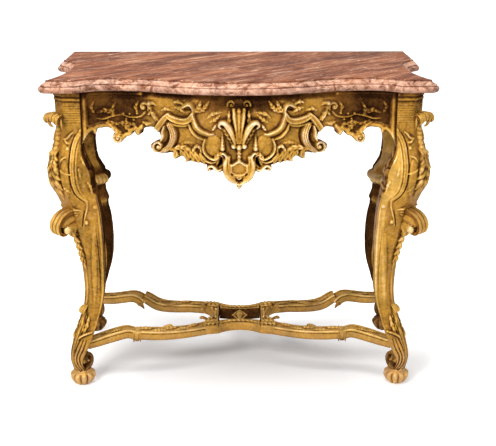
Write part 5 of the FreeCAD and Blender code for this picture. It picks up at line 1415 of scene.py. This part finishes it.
def arm_mesh(row):
    """Left arm of the front row, or of the back row as it would lie at the front."""
    outer, onward = ARM_LINES[row]
    shapes = []
    for line, widths, thicks in (
        (outer, [36, 39, 41, 41, 39], [26, 28, 29, 29, 28]),
        (onward, [38, 41, 41, 40, 42], [27, 29, 28, 27, 27]),
    ):
        shapes.append(sweep(line, (-0.25, 1, 0), widths, thicks, section=moulded, tones=moulded_tones))
    if row == "front":
        shapes += collar_shapes()
    # Low leaves on the upper face
    for share, side, long in ((0.16, 1, 46), (0.34, -1, 44), (0.5, 1, 44), (0.66, -1, 40), (0.82, 1, 36)):
        at = along_path(onward, share) + np.array([0, 7.0 * side, 13])
        heading = along_path(onward, min(share + 0.08, 1)) - along_path(onward, share)
        heading = heading / np.linalg.norm(heading)
        line = [
            at - heading * long * 0.5 - UP * 2,
            at - heading * long * 0.2 + UP * 1.5,
            at + heading * long * 0.2 + UP * 2,
            at + heading * long * 0.5 + np.array([0, 5.0 * side, 1.5]),
        ]
        shapes.append(sweep(line, (0, 1, 0.1), [5, 15, 15, 4], [4, 7, 7, 4], 4, 0.16))
    curl_at = along_path(onward, 0.46) + np.array([0, 18.0, 12])
    line = beside(curl_at, (-20, -4, -2), (-6, 1, 2), (6, 3, 5), (12, 0, 5))
    shapes.append(sweep(line, (0, 1, 0.2), [6, 11, 11, 7], [5, 8, 9, 7]))
    for share, side in ((0.4, 1), (0.62, -1)):
        at = along_path(outer, share) + np.array([0, 6.0 * side, 14])
        line = beside(at, (-18, -6, -3), (0, 0, 1.5), (16, 5, 0))
        shapes.append(sweep(line, (0, 1, 0.2), [4, 13, 4], [4, 6, 4], 4, 0.15))
    if row == "back":
        shapes += cusp_shapes()
    return joined(shapes)


for row in ARM_LINES:
    arm = arm_mesh(row)
    if row == "back":  # let out towards its leg
        arm = flipped(arm, y=-1)
        arm[0][:, 0] -= BACK_SPREAD * rise(-arm[0][:, 0], 115, 218)
    make_pair(f"moulded_arm_{row}", arm, f"stretcher_arm_{row}")


def slab(loop, low, high, carve):
    """Closed slab of a plan, with a moulded rim and a carved upper face, and painted shade on its walls
    towards the middle openings.
    """
    step = 1.5
    loop = np.array(loop, float)
    first, last = loop.min(0) - 3, loop.max(0) + 3
    sheet = Relief(np.arange(first[0], last[0], step), np.arange(first[1], last[1], step))
    inside = edge_distance(sheet.x, sheet.d, loop)
    rim_in = [0, 1.2, 3, 5.5, 7.5, 8.5, 10.5, 13]
    sheet.h = np.interp(inside, rim_in, [-5, -2.2, -0.4, 0, -0.6, -2.6, -2.8, -1.6])
    carve(sheet)
    sheet.h = soften(sheet.h, 1)
    # Painted shade on the rim and walls, dark by the middle openings
    wall = np.where((np.abs(sheet.x) < 70) & (np.abs(sheet.d) < 60), 0.1, 0.48)
    light = np.where(inside < 2.4, wall, hollow_shade(sheet.h, 2, 6, 1.8))

    def on_slab(x, y, out):
        return np.stack([x, y, high + out], 1)

    points, faces, light = plank(sheet, inside, on_slab, high - low, light, wall - 0.05)
    return points, turned(faces), light


def yoke_carving(sheet):
    """Leaves over the joints with the arms and curls beside the hollow."""
    for side in (-1, 1):
        for line, widths, heights, lobes in (
            ([(-66, 74), (-82, 80), (-100, 84), (-118, 90)], [10, 22, 20, 8], [3, 7, 7, 4], 4),
            ([(-68, 58), (-82, 60), (-98, 62), (-110, 66)], [6, 15, 13, 5], [3, 6, 6, 4], 3),
            ([(-86, 22), (-90, 36), (-102, 47), (-114, 54)], [5, 11, 13, 7], [3, 6, 8, 6], 4),
        ):
            sheet.leaf([(x, y * side) for x, y in line], widths, heights, lobes)
        sheet.bead(-76, 30 * side, 4, 5)
    sheet.leaf([(-76, 20), (-77, 0), (-76, -20)], [4, 10, 4], [3, 6, 3], 4)


def bar_carving(sheet):
    """Ribbed strap along the bar."""
    strap = [(-60, -72), (-34, -60), (0, -54.5), (34, -60), (60, -72)]
    sheet.leaf(strap, [5, 11, 15, 11, 5], [2, 5, 6, 5, 2], 9)


def lozenge_carving(sheet):
    """A leaf along the lozenge, with a bead at its middle."""
    sheet.leaf([(0, -34), (0, 0), (0, 34)], [8, 24, 8], [3, 7, 3], 5)
    sheet.bead(0, 0, 7, 9)


BAR_LOW, BAR_HIGH = 114, 140
BACK_BAR_DROP = 11
BAR_END = 65
YOKE_BACK = [(-BAR_END, 97), (-105.9, 104.9), (-124.1, 67.1)]
yoke_front = [(x, -y) for x, y in YOKE_BACK[::-1]]
yoke_hollow = arc_points(YOKE_BACK[-1], (-84, 0), yoke_front[0])
yoke_loop = [*YOKE_BACK, *yoke_hollow[1:-1], *yoke_front]
yoke_shapes = [slab(yoke_loop, BAR_LOW, BAR_HIGH + 1, yoke_carving)]
for side in (-1, 1):  # leaf curls at the ends of the hollow
    line = [(-100, 48, 141), (-110, 50, 146), (-119, 46, 147), (-123, 39, 142), (-118, 34, 138)]
    line = [(x, y * side, z) for x, y, z in line]
    yoke_shapes.append(sweep(line, (0.3, 1, 0), [6, 13, 13, 9, 4], [5, 8, 9, 7, 4], 2, 0.12))
make_pair("moulded_yoke", joined(yoke_shapes), "stretcher_yoke")

bar_loop = arc_points((-BAR_END, -97), (0, -71), (BAR_END, -97))
bar_loop += arc_points((BAR_END, -47), (0, -38), (-BAR_END, -47))
bar = slab(bar_loop, BAR_LOW, BAR_HIGH, bar_carving)
make_piece("moulded_bar_front", bar, ["stretcher_bar_front"])
bar = slab(bar_loop, BAR_LOW - BACK_BAR_DROP, BAR_HIGH, bar_carving)
make_piece("moulded_bar_back", flipped(bar, y=-1), ["stretcher_bar_back"])

lozenge_loop = [(-8.4, -38), (8.4, -38), (28, 0), (8.4, 38), (-8.4, 38), (-28, 0)]
make_piece("moulded_lozenge", slab(lozenge_loop, 117, 136, lozenge_carving), ["stretcher_lozenge"])


# Floor, light and camera


def seen(tree):
    """One for rays from the camera, straight or by a mirror or clear piece, and zero for other rays."""
    rays = tree.nodes.new("ShaderNodeLightPath")
    found = rays.outputs["Is Camera Ray"]
    for kind in ("Is Glossy Ray", "Is Transmission Ray"):
        either = tree.nodes.new("ShaderNodeMath")
        either.operation = "MAXIMUM"
        tree.links.new(found, either.inputs[0])
        tree.links.new(rays.outputs[kind], either.inputs[1])
        found = either.outputs[0]
    return found


FLOOR_REACH = 30
floor_mesh = bpy.data.meshes.new("floor")
floor_corners = [(x * FLOOR_REACH, y * FLOOR_REACH, 0) for x, y in ((-1, -1), (1, -1), (1, 1), (-1, 1))]
floor_mesh.from_pydata(floor_corners, [], [(0, 1, 2, 3)])
floor = bpy.data.objects.new("floor", floor_mesh)
bpy.context.scene.collection.objects.link(floor)
pale = Tree("floor_paint")
# The camera sees the open floor glow white, and dimmer near the table, a painted shadow over the lamps' own
# shadow
away = pale.add("ShaderNodeVectorMath", operation="LENGTH")
pale.link(pale.stretched((1, 1.5, 1), (0, 0, 0), (0.02, -0.16, 0)), away.inputs[0])
glow_outside_painted_shadow = pale.span(away.outputs["Value"], 0.30, 0.95, 0.10, 1.0)
pale.set(
    Base_Color=pale.ramp(pale.noise(2.0, 2), (0.3, (0.86, 0.86, 0.86)), (0.7, (0.88, 0.88, 0.88))),
    Roughness=0.9,
    Specular_IOR_Level=0.0,
    Emission_Color=(1, 1, 1, 1),
    Emission_Strength=pale.calc("MULTIPLY", seen(pale.tree), glow_outside_painted_shadow),
)
floor_mesh.materials.append(pale.material)

# The sky is white to look at and throws a weaker light
SKY_SHOWN = 1
SKY_LIGHT = 0.30
world = bpy.data.worlds.new("studio")
bpy.context.scene.world = world
world.use_nodes = True
sky = world.node_tree
sky.nodes.clear()
blend = sky.nodes.new("ShaderNodeMixShader")
sky.links.new(seen(sky), blend.inputs["Fac"])
for socket, strength in ((1, SKY_LIGHT), (2, SKY_SHOWN)):
    background = sky.nodes.new("ShaderNodeBackground")
    background.inputs["Color"].default_value = (1, 1, 1, 1)
    background.inputs["Strength"].default_value = strength
    sky.links.new(background.outputs[0], blend.inputs[socket])
sky.links.new(blend.outputs[0], sky.nodes.new("ShaderNodeOutputWorld").inputs["Surface"])


def softbox(name, place, aim, width, height, watts):
    """An area lamp at a place, turned to what it aims at."""
    lamp = bpy.data.lights.new(name, "AREA")
    lamp.shape = "RECTANGLE"
    lamp.size = width
    lamp.size_y = height
    lamp.energy = watts
    holder = bpy.data.objects.new(name, lamp)
    bpy.context.scene.collection.objects.link(holder)
    holder.location = place
    line = np.array(aim) - np.array(place)
    holder.rotation_euler = (
        math.atan2(math.hypot(line[0], line[1]), -line[2]),
        0,
        math.atan2(line[1], line[0]) - math.pi / 2,
    )


softbox("key", (-1.7, -2.7, 2.5), (0, -0.1, 0.5), 1.2, 1.2, 92)
softbox("top", (-0.1, -0.5, 3.0), (0, 0, 0.6), 1.5, 1.1, 58)
softbox("fill", (2.6, -2.7, 1.5), (0, 0, 0.5), 1.4, 1.4, 22)

# Camera fitted to the photo: its focal length in pixels, the width it is counted over, tilt and turn
FOCAL_PIXELS = 1000
PHOTO_PIXELS = 496
TILT_DOWN = 0.3136
TURN = -0.0091
lens = bpy.data.cameras.new("camera")
lens.sensor_width = 36
lens.lens = lens.sensor_width * FOCAL_PIXELS / PHOTO_PIXELS
camera = bpy.data.objects.new("camera", lens)
bpy.context.scene.collection.objects.link(camera)
camera.location = (0, -2.947, 1.399)
camera.rotation_euler = (math.pi / 2 - TILT_DOWN, 0, TURN)
bpy.context.scene.camera = camera
bpy.context.scene.view_settings.view_transform = "Standard"
